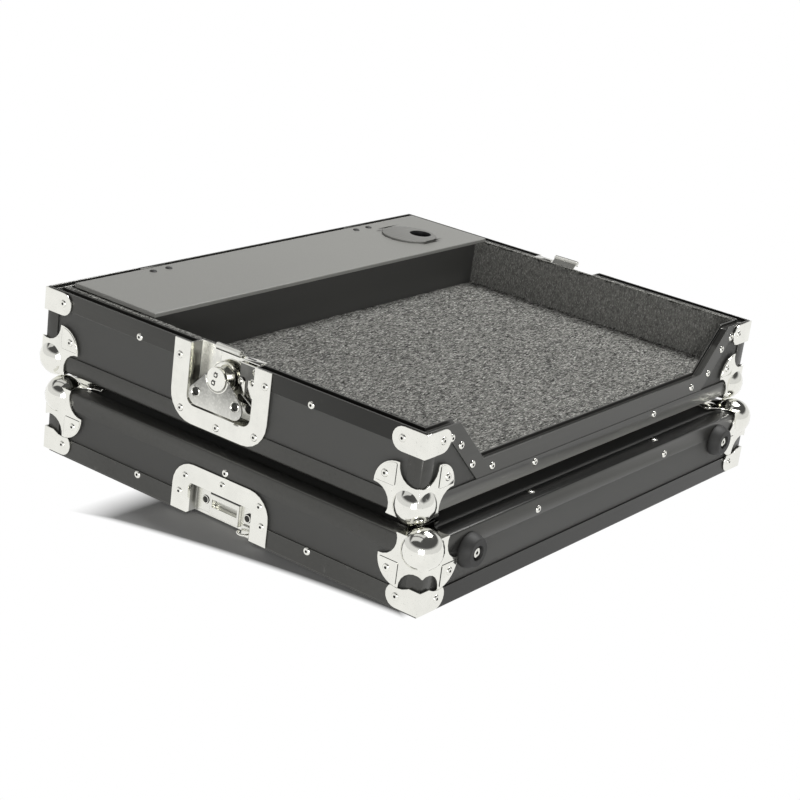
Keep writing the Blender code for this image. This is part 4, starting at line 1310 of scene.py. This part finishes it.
@dataclass
class Rivets:
    """Split rivets of both halves: bright domes with painted shade in the bore.

    Places are in millimetres, along the face from its middle and upward from the half's foot, or along Y on
    the top and underside. Those of the front, back, top and underside are mirrored.
    """

    ground: Ground
    head: Sequence[Point2] = (
        (0.0, 0.22), (1.1, 0.22), (1.25, 1.0), (1.9, 1.2), (2.9, 0.85), (3.5, 0.28), (3.6, 0.0), (0.0, 0.0)
    )
    bore: float = 1.15
    bore_top: float = 0.9
    turn: float = 25.0
    base_side: Sequence[Point2] = (
        (48.8, 61.6), (-49.7, 62.4), (43.3, 14.2), (0.0, 8.9), (-43.4, 14.6), (99.7, 61.9), (-99.7, 61.9),
        (184.0, 31.5), (-184.0, 31.5), (196.3, 65.6), (-196.3, 65.6),
    )
    base_front: Sequence[Point2] = (
        (102.0, 11.0), (170.0, 24.1), (200.5, 32.8), (221.0, 54.4), (236.0, 64.2), (237.2, 31.5),
        (249.7, 65.6),
    )
    base_back: Sequence[Point2] = ((102.0, 62.0), (200.5, 62.0), (237.2, 31.5), (249.7, 65.6))
    base_under: Sequence[Point2] = ((105.2, -206.3), (105.2, 206.3), (237.2, 184.0), (237.2, -184.0))
    lid_side: Sequence[Point2] = (
        (41.8, 33.6), (47.2, 17.3), (-1.5, 39.2), (-44.9, 34.8), (-49.2, 17.7), (-2.5, 50.5), (100.0, 13.9),
        (-100.0, 13.9), (184.0, 32.2), (-184.0, 32.2), (196.3, 10.7), (-196.3, 10.7),
    )
    lid_front: Sequence[Point2] = ((108.3, 52.2), (237.2, 32.2), (249.7, 10.7))
    lid_top: Sequence[Point2] = ((105.2, -206.3), (105.2, 206.3), (237.2, 184.0), (237.2, -184.0))
    edge_spot: Point2 = (262.0, 2.4)
    pad_height: float = 0.5 * MM
    pad_flat: Point2 = (230.0, 180.0)
    pad_side: float = 184.0
    pad_front: float = 237.2
    pad_band: Point2 = (31.0, 33.0)

    def spots(self, shell: Shell) -> Iterable[tuple[Wall, float, float]]:
        """Every rivet of a half.

        Args:
            shell: the half.

        Returns:
            The face, the place along it and the height of each rivet.
        """
        base = shell is BASE_SHELL
        sides = self.base_side if base else self.lid_side
        for along, height in sides:
            yield Wall.LEFT, along, height
            yield Wall.RIGHT, along, height
        for along, height in self.base_front if base else self.lid_front:
            yield Wall.FRONT, along, height
            yield Wall.FRONT, -along, height
        for along, height in self.base_back if base else self.lid_front:
            yield Wall.BACK, along, height
            yield Wall.BACK, -along, height
        flat = Wall.UNDER if base else Wall.TOP
        for along, height in self.base_under if base else self.lid_top:
            yield flat, along, height
            yield flat, -along, height
        for side in (-1.0, 1.0):
            yield flat, side * self.edge_spot[0], side * self.edge_spot[1]

    def on_pad(self, wall: Wall, along: float, height: float) -> bool:
        """Whether a rivet sits on the raised pad of a ball corner.

        Args:
            wall: the face.
            along: place along the face.
            height: height on it.

        Returns:
            True on a pad.
        """
        if wall.flat:
            return abs(along) > self.pad_flat[0] and abs(height) > self.pad_flat[1]
        outer = self.pad_side if wall in (Wall.LEFT, Wall.RIGHT) else self.pad_front
        return abs(abs(along) - outer) < 0.5 and self.pad_band[0] < height < self.pad_band[1]

    def build(self) -> None:
        """Sets every rivet down on its half."""
        head = turned(self.head, 16)
        for shell in (BASE_SHELL, LID_SHELL):
            batch = Batch(f"{shell.prefix}_rivets", [Finish.NICKEL, Finish.DARK_STEEL], shell.prefix)
            solids = Named((f"{shell.prefix}_", "keeper_", "latch_dish"))
            for wall, along, height in self.spots(shell):
                spot = shell.spot(wall, along * MM, height * MM)
                lift = self.pad_height if self.on_pad(wall, along, height) else 0.0
                batch.add(head, self.ground.seat(spot, wall, solids, self.turn, lift), self.in_bore)
            batch.publish()
        discard(head)

    def in_bore(self, middle: Vector) -> bool:
        """Whether a face belongs to the rivet's bore, which takes painted shade."""
        return middle.xy.length < self.bore * 1.03 * MM and middle.z < self.bore_top * MM


@dataclass
class CornerPads:
    """Raised quarter-round pads on the lobes of the ball corners, with painted shade on their straight edges.
    """

    ground: Ground
    inset: float = 23.4 * MM
    radius: float = 20.3 * MM
    height: float = 0.5 * MM
    soft: float = 2.0 * MM
    dark_edge: float = 0.4 * MM

    def build(self) -> None:
        """Sets one down on each face of each ball corner."""
        shape = pad(self.radius, self.height, self.soft)
        for shell in (BASE_SHELL, LID_SHELL):
            batch = Batch(f"{shell.prefix}_corner_pads", [Finish.NICKEL, Finish.DARK_STEEL], shell.prefix)
            closed = 1.0 if shell is BASE_SHELL else -1.0
            flat = Wall.UNDER if shell is BASE_SHELL else Wall.TOP
            for wall in (Wall.LEFT, Wall.RIGHT, Wall.FRONT, Wall.BACK, flat):
                for side in (-1.0, 1.0):
                    for end in (-1.0, 1.0) if wall.flat else (0.0,):
                        batch.add(shape, self.place(shell, wall, side, end, closed), self.straight_edge)
            batch.publish()
        discard(shape)

    def straight_edge(self, middle: Vector) -> bool:
        """Whether a face belongs to the edges beside the pad's square corner, which take painted shade."""
        return min(middle.x, middle.y) < self.dark_edge and middle.z < self.height * 0.98

    def place(self, shell: Shell, wall: Wall, side: float, end: float, closed: float) -> Matrix | None:
        """Where one pad goes, its square corner toward the ball.

        Args:
            shell: the half of the case.
            wall: the face.
            side: which end of the face, -1 or 1.
            end: on a top or an underside, front (-1) or back (1).
            closed: 1 where the closed face is below, -1 where it is above.

        Returns:
            The place, or None off the plate.
        """
        along = side * (wall.half(shell) - self.inset)
        if wall.flat:
            height = end * (shell.half_depth - self.inset)
            upward = -end
        else:
            height = self.inset if closed > 0.0 else shell.height - self.inset
            upward = closed
        rightward = -side * wall.sense
        turn = math.degrees(math.atan2(upward, rightward)) - 45.0
        prefix = f"{shell.prefix}_ball_corner"
        return self.ground.seat(shell.spot(wall, along, height), wall, Named((prefix,)), turn)


@dataclass
class Latch:
    """Small parts of a recessed butterfly latch.

    Profiles are radius and height in millimetres. Places are in millimetres, along Y from the tray's middle
    and upward from its foot. The third value is a depth in metres for the bead, the lip and the slot, a turn
    in degrees for the straps, and a lift in millimetres for the screws.
    """

    ground: Ground
    side: str
    hub: Point2 = (2.4, 53.6)
    hole: Point2 = (22.9, 18.3)
    lobe: float = 6.2
    ring: Sequence[Point2] = ((3.9, 0.0), (3.9, 0.5), (4.4, 0.9), (4.9, 0.6), (5.2, 0.0), (3.9, 0.0))
    plug: Sequence[Point2] = ((0.0, -0.7), (3.7, -0.7), (3.7, -1.3), (0.0, -1.3))
    dimple: Sequence[Point2] = (
        (0.0, 0.5), (1.2, 0.45), (1.6, 0.1), (2.3, 0.1), (2.5, 0.45), (2.9, 0.0), (0.0, 0.0)
    )
    dimple_ring: Band = Band(1.3, 2.35)
    dimples: Sequence[Point2] = ((0.6, 3.6), (2.6, -4.0))
    drum: Sequence[Point2] = (
        (9.1, -4.4), (14.1, -4.4), (14.1, -1.2), (13.7, -0.5), (12.9, -0.5), (12.5, -1.0), (9.1, -1.0),
        (9.1, -4.4),
    )
    drum_depth: float = 8.4 * MM
    collar: float = 12.5
    collar_wire: float = 0.75 * MM
    hook_width: float = 27.5
    bead: tuple[float, float, float] = (-1.2, 80.0, 5.0 * MM)
    bead_radius: float = 2.7 * MM
    crease: Point2 = (-2.75 * MM, 1.1 * MM)
    crease_radius: float = 0.6 * MM
    lip_size: Sequence[float] = (20.6 * MM, 0.9 * MM, 10.0 * MM)
    lip: tuple[float, float, float] = (-26.3, 76.15, 14.7 * MM)
    slot_size: Sequence[float] = (9.0 * MM, 0.3 * MM, 2.0 * MM)
    slot: tuple[float, float, float] = (-23.0, 76.6, 11.4 * MM)
    narrow_size: Sequence[float] = (7.0 * MM, 13.0 * MM, 1.0 * MM)
    narrow: tuple[float, float, float] = (-20.0, 51.5, 2.0)
    wide_size: Sequence[float] = (8.6 * MM, 15.0 * MM, 0.8 * MM)
    wide: tuple[float, float, float] = (-30.6, 52.5, -3.0)
    strap_edge: float = 0.3 * MM
    screw: Sequence[Point2] = (
        (0.0, 0.5), (1.1, 0.5), (1.5, 0.15), (2.2, 0.2), (2.5, 0.9), (3.2, 0.6), (3.4, 0.0), (0.0, 0.0)
    )
    screw_ring: Band = Band(1.5, 2.3)
    screws: Sequence[tuple[float, float, float]] = (
        (-18.9, 57.2, 1.0), (-32.0, 59.3, 0.8), (-33.2, 68.6, 0.0)
    )
    wire_end: tuple[float, float, float] = (6.0, -3.6, 1.6)
    wire_radius: float = 0.7 * MM
    wire: Point2 = (-27.6, 42.6)
    boss_profile: Sequence[Point2] = (
        (0.0, 1.0), (2.6, 1.0), (3.0, 0.4), (3.8, 0.4), (4.2, 1.6), (5.0, 1.4), (5.2, 0.0), (0.0, 0.0)
    )
    boss_bore: Band = Band(outer=3.9)
    boss: Point2 = (-24.0, 31.6)

    @property
    def wall(self) -> Wall:
        """The face that the latch is on."""
        return Wall.LEFT if self.side == "left" else Wall.RIGHT

    def seat(
        self, along: float, height: float, node: str, turn: float = 0.0, lift: float = 0.0
    ) -> Matrix | None:
        """A place on one of the latch's solids.

        Args:
            along: place along Y in millimetres.
            height: height above the tray's foot in millimetres.
            node: the solid's name without its side.
            turn: turn about the outward direction in degrees.
            lift: distance above the surface in metres.

        Returns:
            The place, or None off the solid.
        """
        spot = BASE_SHELL.spot(self.wall, along * MM, height * MM)
        return self.ground.seat(spot, self.wall, Named((f"{node}_{self.side}",)), turn, lift)

    def inside(self, along: float, height: float, depth: float) -> Matrix:
        """A place at a depth behind the side wall's face.

        Args:
            along: place along Y in millimetres.
            height: height above the tray's foot in millimetres.
            depth: depth in metres.

        Returns:
            The place, with Z outward and Y up.
        """
        spot = BASE_SHELL.spot(self.wall, along * MM, height * MM) - self.wall.out * (STAND_OFF + depth)
        return Matrix.Translation(spot) @ self.wall.frame

    def batch(self, part: str, node: str, *finishes: Finish) -> Batch:
        """Starts a piece of the latch.

        Args:
            part: the piece's name without latch and side.
            node: the solid that it rides with, without its side.
            finishes: its finishes, or none for nickel with dark steel as painted shade.

        Returns:
            The empty batch.
        """
        body = self.ground.nodes[f"{node}_{self.side}"]["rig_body"]
        return Batch(f"latch_{part}_{self.side}", finishes or (Finish.NICKEL, Finish.DARK_STEEL), body)

    def wing_rings(self) -> None:
        """Raised rings round the wing's two holes, with a dark plug of painted shade in each."""
        batch = self.batch("wing_rings", "latch_wing")
        ring, plug = turned(self.ring, 28), turned(self.plug, 20)
        for side in (-1.0, 1.0):
            along = self.hub[0] + side * self.hole[0]
            on_lobe = self.seat(along, self.hub[1] - self.hole[1] - self.lobe, "latch_wing")
            if on_lobe is not None:
                place = Matrix.Translation((0.0, 0.0, self.lobe * MM)) @ on_lobe
                batch.add(ring, place)
                # The plug is painted shade in the hole.
                batch.add(plug, place, Band())
        batch.publish()
        discard(ring, plug)

    def hub_marks(self) -> None:
        """Two ringed screws on the hub's face, with painted shade in their grooves, and the drum behind it.
        """
        batch = self.batch("hub_marks", "latch_hub")
        dimple, drum = turned(self.dimple, 20), turned(self.drum, 40)
        for along, height in self.dimples:
            place = self.seat(self.hub[0] + along, self.hub[1] + height, "latch_hub")
            # The screws' grooves take painted shade.
            batch.add(dimple, place, self.dimple_ring)
        face = self.seat(*self.hub, "latch_hub")
        if face is not None:
            batch.add(drum, face @ Matrix.Translation((0.0, 0.0, -self.drum_depth)))
        batch.publish()
        discard(dimple, drum)

    def wing_collar(self) -> None:
        """Raised collar on the wing round the hub's lower half."""
        batch = self.batch("wing_collar", "latch_wing", Finish.NICKEL)
        sweep = [math.radians(180.0 + 15.0 * step) for step in range(13)]
        arc = [Vector((math.cos(angle), math.sin(angle), 0.0)) * self.collar * MM for angle in sweep]
        wire = rod(arc, self.collar_wire, 10)
        below = self.seat(self.hub[0], self.hub[1] - self.collar, "latch_wing")
        if below is not None:
            batch.add(wire, Matrix.Translation((0.0, 0.0, self.collar * MM)) @ below)
        batch.publish()
        discard(wire)

    def hook_bead(self) -> None:
        """Full round of the hook's rolled top, with a dark rod of painted shade in the crease below it."""
        batch = self.batch("hook_bead", "latch_hook", Finish.SATIN_NICKEL, Finish.DARK_STEEL)
        half = self.hook_width / 2 * MM
        roll = rod([Vector((-half, 0.0, 0.0)), Vector((half, 0.0, 0.0))], self.bead_radius, 24)
        crease = rod([Vector((-half, *self.crease)), Vector((half, *self.crease))], self.crease_radius, 10)
        place = self.inside(*self.bead)
        batch.add(roll, place)
        # The dark rod is painted shade in the crease.
        batch.add(crease, place, Band())
        batch.publish()
        discard(roll, crease)

    def pocket(self) -> None:
        """Slotted lip, bent straps, screws, a wire and a boss in the pocket beside the hook."""
        batch = self.batch("pocket", "latch_dish")
        lip, slot = plate(self.lip_size, 0.25 * MM), plate(self.slot_size, 0.1 * MM)
        batch.add(lip, self.inside(*self.lip))
        # The slot is a dark block of painted shade.
        batch.add(slot, self.inside(*self.slot), Band())
        discard(lip, slot)
        for size, (along, height, turn) in ((self.narrow_size, self.narrow), (self.wide_size, self.wide)):
            strap = plate(size, self.strap_edge)
            batch.add(strap, self.seat(along, height, "latch_dish", turn))
            discard(strap)
        screw, boss = turned(self.screw, 20), turned(self.boss_profile, 24)
        for along, height, lift in self.screws:
            # The screws' grooves take painted shade.
            batch.add(screw, self.seat(along, height, "latch_dish", 0.0, lift * MM), self.screw_ring)
        x, y, z = self.wire_end
        wire = rod([Vector((-x, -y, z)) * MM, Vector((x, y, z)) * MM], self.wire_radius, 10)
        batch.add(wire, self.seat(*self.wire, "latch_dish"))
        batch.add(boss, self.seat(*self.boss, "latch_dish"), self.boss_bore)
        batch.publish()
        discard(screw, boss, wire)

    def build(self) -> None:
        """Builds the latch's small parts."""
        self.wing_rings()
        self.wing_collar()
        self.hub_marks()
        self.hook_bead()
        self.pocket()


@dataclass
class Keeper:
    """Small parts of a keeper dish: two rivets and a wire loop, in millimetres."""

    ground: Ground
    side: str
    rivets: Sequence[tuple[float, float, float]] = ((23.4, 15.2, 0.0), (-27.2, 15.3, 1.6))
    head: Sequence[Point2] = (
        (0.0, 0.7), (1.5, 0.65), (2.0, 0.2), (2.7, 0.2), (3.0, 0.9), (3.6, 0.8), (4.1, 0.0), (4.1, -1.7),
        (0.0, -1.7),
    )
    ring: Band = Band(2.8, 3.75)
    loop: Point2 = (-25.0, 4.6)
    loop_radii: Point2 = (5.2, 5.0)
    loop_middle: Point2 = (-3.0, 0.9)
    wire: float = 1.05

    def off_ring(self, middle: Vector) -> bool:
        """Whether a face of the head is inside or outside its bright ring."""
        return not self.ring(middle)

    def build(self) -> None:
        """Sets the plate's two rivets and the wire loop below it."""
        wall = Wall.LEFT if self.side == "left" else Wall.RIGHT
        batch = Batch(f"keeper_fixings_{self.side}", [Finish.NICKEL, Finish.DARK_STEEL], "lid")
        head = turned(self.head, 20)
        solids = Named(("keeper_",), self.side)
        for along, height, lift in self.rivets:
            spot = LID_SHELL.spot(wall, along * MM, height * MM)
            batch.add(head, self.ground.seat(spot, wall, solids, 0.0, lift * MM), self.off_ring)
        sweep = [math.radians(180.0 - 18.0 * step) for step in range(11)]
        across, out = self.loop_radii
        down, off = self.loop_middle
        path = [Vector((math.cos(angle) * across, down, off + math.sin(angle) * out)) * MM for angle in sweep]
        wire = rod(path, self.wire * MM, 12)
        spot = LID_SHELL.spot(wall, self.loop[0] * MM, self.loop[1] * MM)
        batch.add(wire, self.ground.seat(spot, wall, solids))
        batch.publish()
        discard(head, wire)


@dataclass
class FootScrews:
    """Washer and screw in the recess of each rubber foot."""

    ground: Ground
    across: float = 211.05
    height: float = 43.7
    washer: Sequence[Point2] = ((0.0, 0.0), (0.0, 0.5), (5.6, 0.5), (6.1, 0.3), (6.2, 0.0), (0.0, 0.0))
    bore: Band = Band(outer=1.35)
    screw: Sequence[Point2] = (
        (0.0, 1.4), (1.1, 1.4), (1.5, 3.0), (2.8, 3.5), (4.2, 3.0), (4.8, 1.8), (4.9, 0.4), (0.0, 0.4)
    )

    def build(self) -> None:
        """Sets them down."""
        batch = Batch("lid_foot_screws", [Finish.NICKEL, Finish.DARK_STEEL], "lid")
        washer, screw = turned(self.washer, 28), turned(self.screw, 20)
        for side in (-1.0, 1.0):
            spot = LID_SHELL.spot(Wall.FRONT, side * self.across * MM, self.height * MM)
            place = self.ground.seat(spot, Wall.FRONT, Named(("lid_foot",)))
            batch.add(washer, place, Band())
            # The screw's sunk middle takes painted shade.
            batch.add(screw, place, self.bore)
        batch.publish()
        discard(washer, screw)


@dataclass
class CoverFixings:
    """Button heads that hold the cover's hinges, and the handle's rivets, in millimetres."""

    ground: Ground
    button: Sequence[Point2] = ((0.0, 1.3), (2.0, 1.2), (3.2, 0.8), (3.7, 0.0), (0.0, 0.0))
    hinges: Lines = ((-164.0, -143.0, 143.0, 164.0), (192.5, 203.0))
    handle: Lines = ((-72.0, -52.0, 52.0, 72.0), (51.2, 36.2))

    def rows(self, batch: Batch, wall: Wall, node: str, places: Lines) -> None:
        """Sets heads down on every crossing of a few lines.

        Args:
            batch: the piece that takes them.
            wall: the face.
            node: the solid that they sit on.
            places: the lines' places along the face and up it.
        """
        button = turned(self.button, 18)
        for along in places[0]:
            for height in places[1]:
                spot = BASE_SHELL.spot(wall, along * MM, height * MM)
                batch.add(button, self.ground.seat(spot, wall, Named((node,))))
        batch.publish()
        discard(button)

    def build(self) -> None:
        """Sets them down."""
        cover = self.ground.nodes["cable_bay_cover"]["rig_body"]
        buttons = Batch("cover_hinge_buttons", [Finish.RUBBER], cover)
        self.rows(buttons, Wall.TOP, "cable_bay_cover", self.hinges)
        rivets = Batch("handle_rivets", [Finish.NICKEL, Finish.DARK_STEEL], "base")
        self.rows(rivets, Wall.BACK, "handle_bracket", self.handle)


@dataclass
class Linings:
    """Carpet of the tray and foam of the lid: soft, so their edges are round and slightly uneven."""

    nodes: dict[str, bpy.types.Object]
    grain: float = 9.0 * MM
    rounds: int = 9
    wave: float = 60.0
    ripple: float = 330.0
    settled: float = 0.45

    def soften(self, name: str, finish: Finish, edge: float, unevenness: float) -> None:
        """Replaces one lining.

        Args:
            name: the node's name.
            finish: its finish.
            edge: radius of its edges.
            unevenness: how far its surface waves.
        """
        node = self.nodes[name]
        mesh = Rounder(edge, segments=3).copy(node)
        bmesh.ops.triangulate(mesh, faces=mesh.faces)
        limit = self.grain * 1.0
        for _ in range(self.rounds):
            long = [item for item in mesh.edges if item.calc_length() > limit]
            if not long:
                break
            bmesh.ops.subdivide_edges(mesh, edges=long, cuts=1, use_grid_fill=False)
            bmesh.ops.triangulate(mesh, faces=[face for face in mesh.faces if len(face.verts) > 3])
        mesh.normal_update()
        for vert in mesh.verts:
            wave = noise.noise(vert.co * self.wave) * 0.6 + noise.noise(vert.co * self.ripple) * 0.4
            vert.co += vert.normal * ((wave - self.settled) * unevenness)
        for face in mesh.faces:
            face.smooth = True
        piece = publish(mesh, f"{name}_piece", [finish, finish], node["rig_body"], 180.0)
        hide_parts(name)

    def build(self) -> None:
        """Builds both linings."""
        self.soften("tray_lining", Finish.CARPET, edge=1.3 * MM, unevenness=0.55 * MM)
        self.soften("lid_lining", Finish.FOAM, edge=1.2 * MM, unevenness=0.5 * MM)


@dataclass
class Carcass:
    """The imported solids, each given its finish and rounded edges.

    A solid's finish comes from the start of its name in special, or else from its material slot. Widths holds
    the roundings that differ from the usual one.
    """

    nodes: dict[str, bpy.types.Object]
    slots: dict[str, str]
    soft: Sequence[str] = ("tray_lining", "lid_lining")
    special: ClassVar[dict[str, Finish]] = {
        "latch_dish": Finish.LATCH_PAN,
        "keeper_dish": Finish.KEEPER_PAN,
        "keeper_plate": Finish.KEEPER_PLATE,
        "latch_wing": Finish.WING,
        "cable_grommet": Finish.GROMMET,
        "cover_hinge": Finish.DARK_STEEL,
        "base_closure_left": Finish.EXTRUSION_Y,
        "base_closure_right": Finish.EXTRUSION_Y,
    }
    by_slot: ClassVar[dict[str, Finish]] = {
        "black_anodised_aluminium": Finish.EXTRUSION_X,
        "charcoal_laminate": Finish.LAMINATE,
        "bright_nickel_steel": Finish.NICKEL,
        "black_rubber": Finish.RUBBER,
        "grey_needle_carpet": Finish.CARPET,
        "grey_satin_panel": Finish.PANEL,
        "black_foam": Finish.FOAM,
    }
    widths: ClassVar[dict[str, float]] = {"keeper_plate": 0.6 * MM, "latch_dish": 0.25 * MM}

    def build(self) -> None:
        """Dresses every solid but the soft ones."""
        for name, node in self.nodes.items():
            if name in self.soft:
                continue
            chosen = [finish for start, finish in self.special.items() if name.startswith(start)]
            widths = [width for start, width in self.widths.items() if name.startswith(start)]
            Rounder(*widths).dress(node, chosen[0] if chosen else self.by_slot[self.slots[name]])


@dataclass
class Studio:
    """White sweep, soft lamps and the camera at the photograph's place.

    The ceiling and window fields shape the room that the metal reflects, as parts of a direction. The shadow
    fields bound the painted shadow on the floor along the lid's left wall.
    """

    lens: float = 84.36
    sensor: float = 36.0
    eye: tuple[float, float, float] = (-1.40688, -0.98784, 0.67169)
    right: tuple[float, float, float] = (0.60918, -0.78345, 0.12286)
    up: tuple[float, float, float] = (0.19713, 0.29967, 0.93346)
    floor_size: float = 24.0
    floor_drop: float = 0.4 * MM
    ambient: float = 0.17
    ceiling: float = 0.10
    ceiling_from: float = 0.42
    ceiling_fade: float = 0.16
    window_middle: Point2 = (-0.17, 0.34)
    window_half: Point2 = (0.38, 0.40)
    window_fade: float = 0.06
    window_from: float = 0.3
    window_light: float = 0.9
    bar_half: float = 0.05
    bar_depth: float = 0.8
    left_wall: float = -276.45 * MM
    shadow_from: float = -216.0 * MM
    shadow_to: float = 76.0 * MM
    shadow_tone: float = 0.42
    shadow_spread: Point2 = (0.09, 0.45)
    shadow_inner: float = -60.0 * MM

    def camera(self) -> None:
        """Puts the camera where the photograph was taken from."""
        right = Vector(self.right).normalized()
        up = Vector(self.up)
        up = (up - right * up.dot(right)).normalized()
        back = right.cross(up)
        turn = Matrix((right, up, back)).transposed().to_4x4()
        data = bpy.data.cameras.new("photo_camera")
        data.lens = self.lens
        data.sensor_width = self.sensor
        data.clip_end = 50.0
        camera = bpy.data.objects.new("photo_camera", data)
        camera.matrix_world = Matrix.Translation(self.eye) @ turn
        bpy.context.scene.collection.objects.link(camera)
        bpy.context.scene.camera = camera

    def lamp(self, name: str, spot: Sequence[float], aim: Sequence[float], size: float, power: float) -> None:
        """Adds a soft square lamp.

        Args:
            name: the lamp's name.
            spot: where it is.
            aim: what it points at.
            size: its side.
            power: its power in watts.
        """
        data = bpy.data.lights.new(name, "AREA")
        data.shape = "SQUARE"
        data.size = size
        data.energy = power
        lamp = bpy.data.objects.new(name, data)
        lamp.location = spot
        lamp.rotation_euler = (Vector(aim) - Vector(spot)).to_track_quat("-Z", "Y").to_euler()
        bpy.context.scene.collection.objects.link(lamp)

    def window(self, graph: Graph, direction: Wire) -> Wire:
        """A bright pane overhead with a bar across it.

        Args:
            graph: the world's nodes.
            direction: the direction looked in.

        Returns:
            The pane's light, 0 to 1.
        """
        x, y, z = (graph.part(direction, index) for index in range(3))
        from_bar = (x - self.window_middle[0]).size()
        beside = from_bar - self.window_half[0]
        behind = (y - self.window_middle[1]).size() - self.window_half[1]
        pane = (1 - beside.most(behind).step(0.0, self.window_fade)) * z.step(self.window_from, 0.1)
        bar = 1 - from_bar.step(self.bar_half, 0.04)
        return pane * (1 - bar * self.bar_depth) * self.window_light

    def world(self) -> None:
        """White to the camera, and in reflections a room that is white low down and darker overhead."""
        world = bpy.data.worlds.new("sweep")
        world.use_nodes = True
        world.node_tree.nodes.clear()
        graph = Graph(world.node_tree)
        path = graph.node("ShaderNodeLightPath")
        rays = ("Is Camera Ray", "Is Glossy Ray", "Is Transmission Ray")
        camera, glossy, through = (Wire(graph.tree, path.outputs[name]) for name in rays)
        seen = camera + through
        direction = graph.output("ShaderNodeTexCoord", "Generated")
        overhead = graph.part(direction, 2).step(self.ceiling_from, self.ceiling_fade)
        room = (1 - overhead * (1.0 - self.ceiling)).most(self.window(graph, direction))
        shown = seen + (1 - seen) * room
        white = (1.0, 0.997, 0.985, 1.0)
        light = graph.output("ShaderNodeBackground", 0, {"Color": white, "Strength": self.ambient})
        plain = graph.output("ShaderNodeBackground", 0, {"Strength": shown})
        show = seen + glossy
        show.socket.node.use_clamp = True
        mix = graph.output("ShaderNodeMixShader", 0, {0: show, 1: light, 2: plain})
        graph.node("ShaderNodeOutputWorld", None, {0: mix})
        bpy.context.scene.world = world

    def lit(self, recipe: Recipe) -> Wire:
        """The floor outside the painted shadow along the lid's left wall.

        Args:
            recipe: the floor's material.

        Returns:
            0 in the painted shadow and 1 outside it.
        """
        out = self.left_wall - recipe.axis(0)
        along = recipe.axis(1) - self.shadow_from
        narrow, wide = self.shadow_spread
        past = (out - along * narrow - along * along * wide).step(1.5 * MM, 9.0 * MM)
        behind = recipe.axis(1).step(self.shadow_to, 36.0 * MM)
        before = 1 - along.step(0.0, 12.0 * MM)
        under = 1 - (out - self.shadow_inner).step(0.0, 6.0 * MM)
        return past.most(behind).most(before).most(under)

    def floor(self) -> None:
        """A white sweep under the case: white to the camera but for a painted shadow along the lid's left
        wall, where the lamps' own shadow shows too.
        """
        mesh = bmesh.new()
        bmesh.ops.create_grid(mesh, x_segments=1, y_segments=1, size=self.floor_size / 2)
        data = bpy.data.meshes.new("studio_floor")
        mesh.to_mesh(data)
        mesh.free()
        recipe = Recipe("studio_floor_paper")
        lit = self.lit(recipe)
        # Painted shadow: the paper is darker along the lid's left wall.
        recipe.feed("Base Color", recipe.blend((self.shadow_tone,) * 3, (0.95, 0.95, 0.945), lit))
        recipe.feed("Roughness", 0.9)
        recipe.feed("Specular IOR Level", 0.1)
        path = recipe.node("ShaderNodeLightPath")
        rays = ("Is Camera Ray", "Is Glossy Ray", "Is Transmission Ray")
        camera, glossy, through = (Wire(recipe.tree, path.outputs[name]) for name in rays)
        shown = camera * lit + (glossy + through)
        shown.socket.node.use_clamp = True
        paper = Wire(recipe.tree, recipe.shader.outputs[0])
        glow = recipe.output("ShaderNodeEmission", 0, {"Strength": 1.0})
        mix = recipe.output("ShaderNodeMixShader", 0, {0: shown, 1: paper, 2: glow})
        recipe.tree.links.new(mix.socket, recipe.tree.nodes["Material Output"].inputs["Surface"])
        data.materials.append(recipe.material)
        floor = bpy.data.objects.new("studio_floor", data)
        floor.location = (0.0, 0.0, -self.floor_drop)
        bpy.context.scene.collection.objects.link(floor)

    def build(self) -> None:
        """Sets up the whole studio."""
        self.camera()
        self.world()
        self.floor()
        self.lamp("key_lamp", spot=(0.9, -0.25, 2.3), aim=(0.0, 0.0, 0.05), size=1.0, power=62.0)
        self.lamp("side_lamp", spot=(-2.6, -1.6, 0.38), aim=(0.0, 0.0, 0.1), size=1.2, power=40.0)
        bpy.context.scene.view_settings.view_transform = "Standard"


def main() -> None:
    """Builds the looks in order."""
    logging.basicConfig(level=logging.INFO, format="%(message)s")
    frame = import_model()
    nodes = dict(frame["nodes"])
    ground = Ground(nodes)
    slots = {row["node"]: row["material_slot"] for row in frame["record"]["subparts"]}
    Carcass(nodes, slots).build()
    Linings(nodes).build()
    Rivets(ground).build()
    CornerPads(ground).build()
    for side in ("left", "right"):
        Latch(ground, side).build()
        Keeper(ground, side).build()
    FootScrews(ground).build()
    CoverFixings(ground).build()
    Studio().build()


if __name__ == "__main__":
    main()
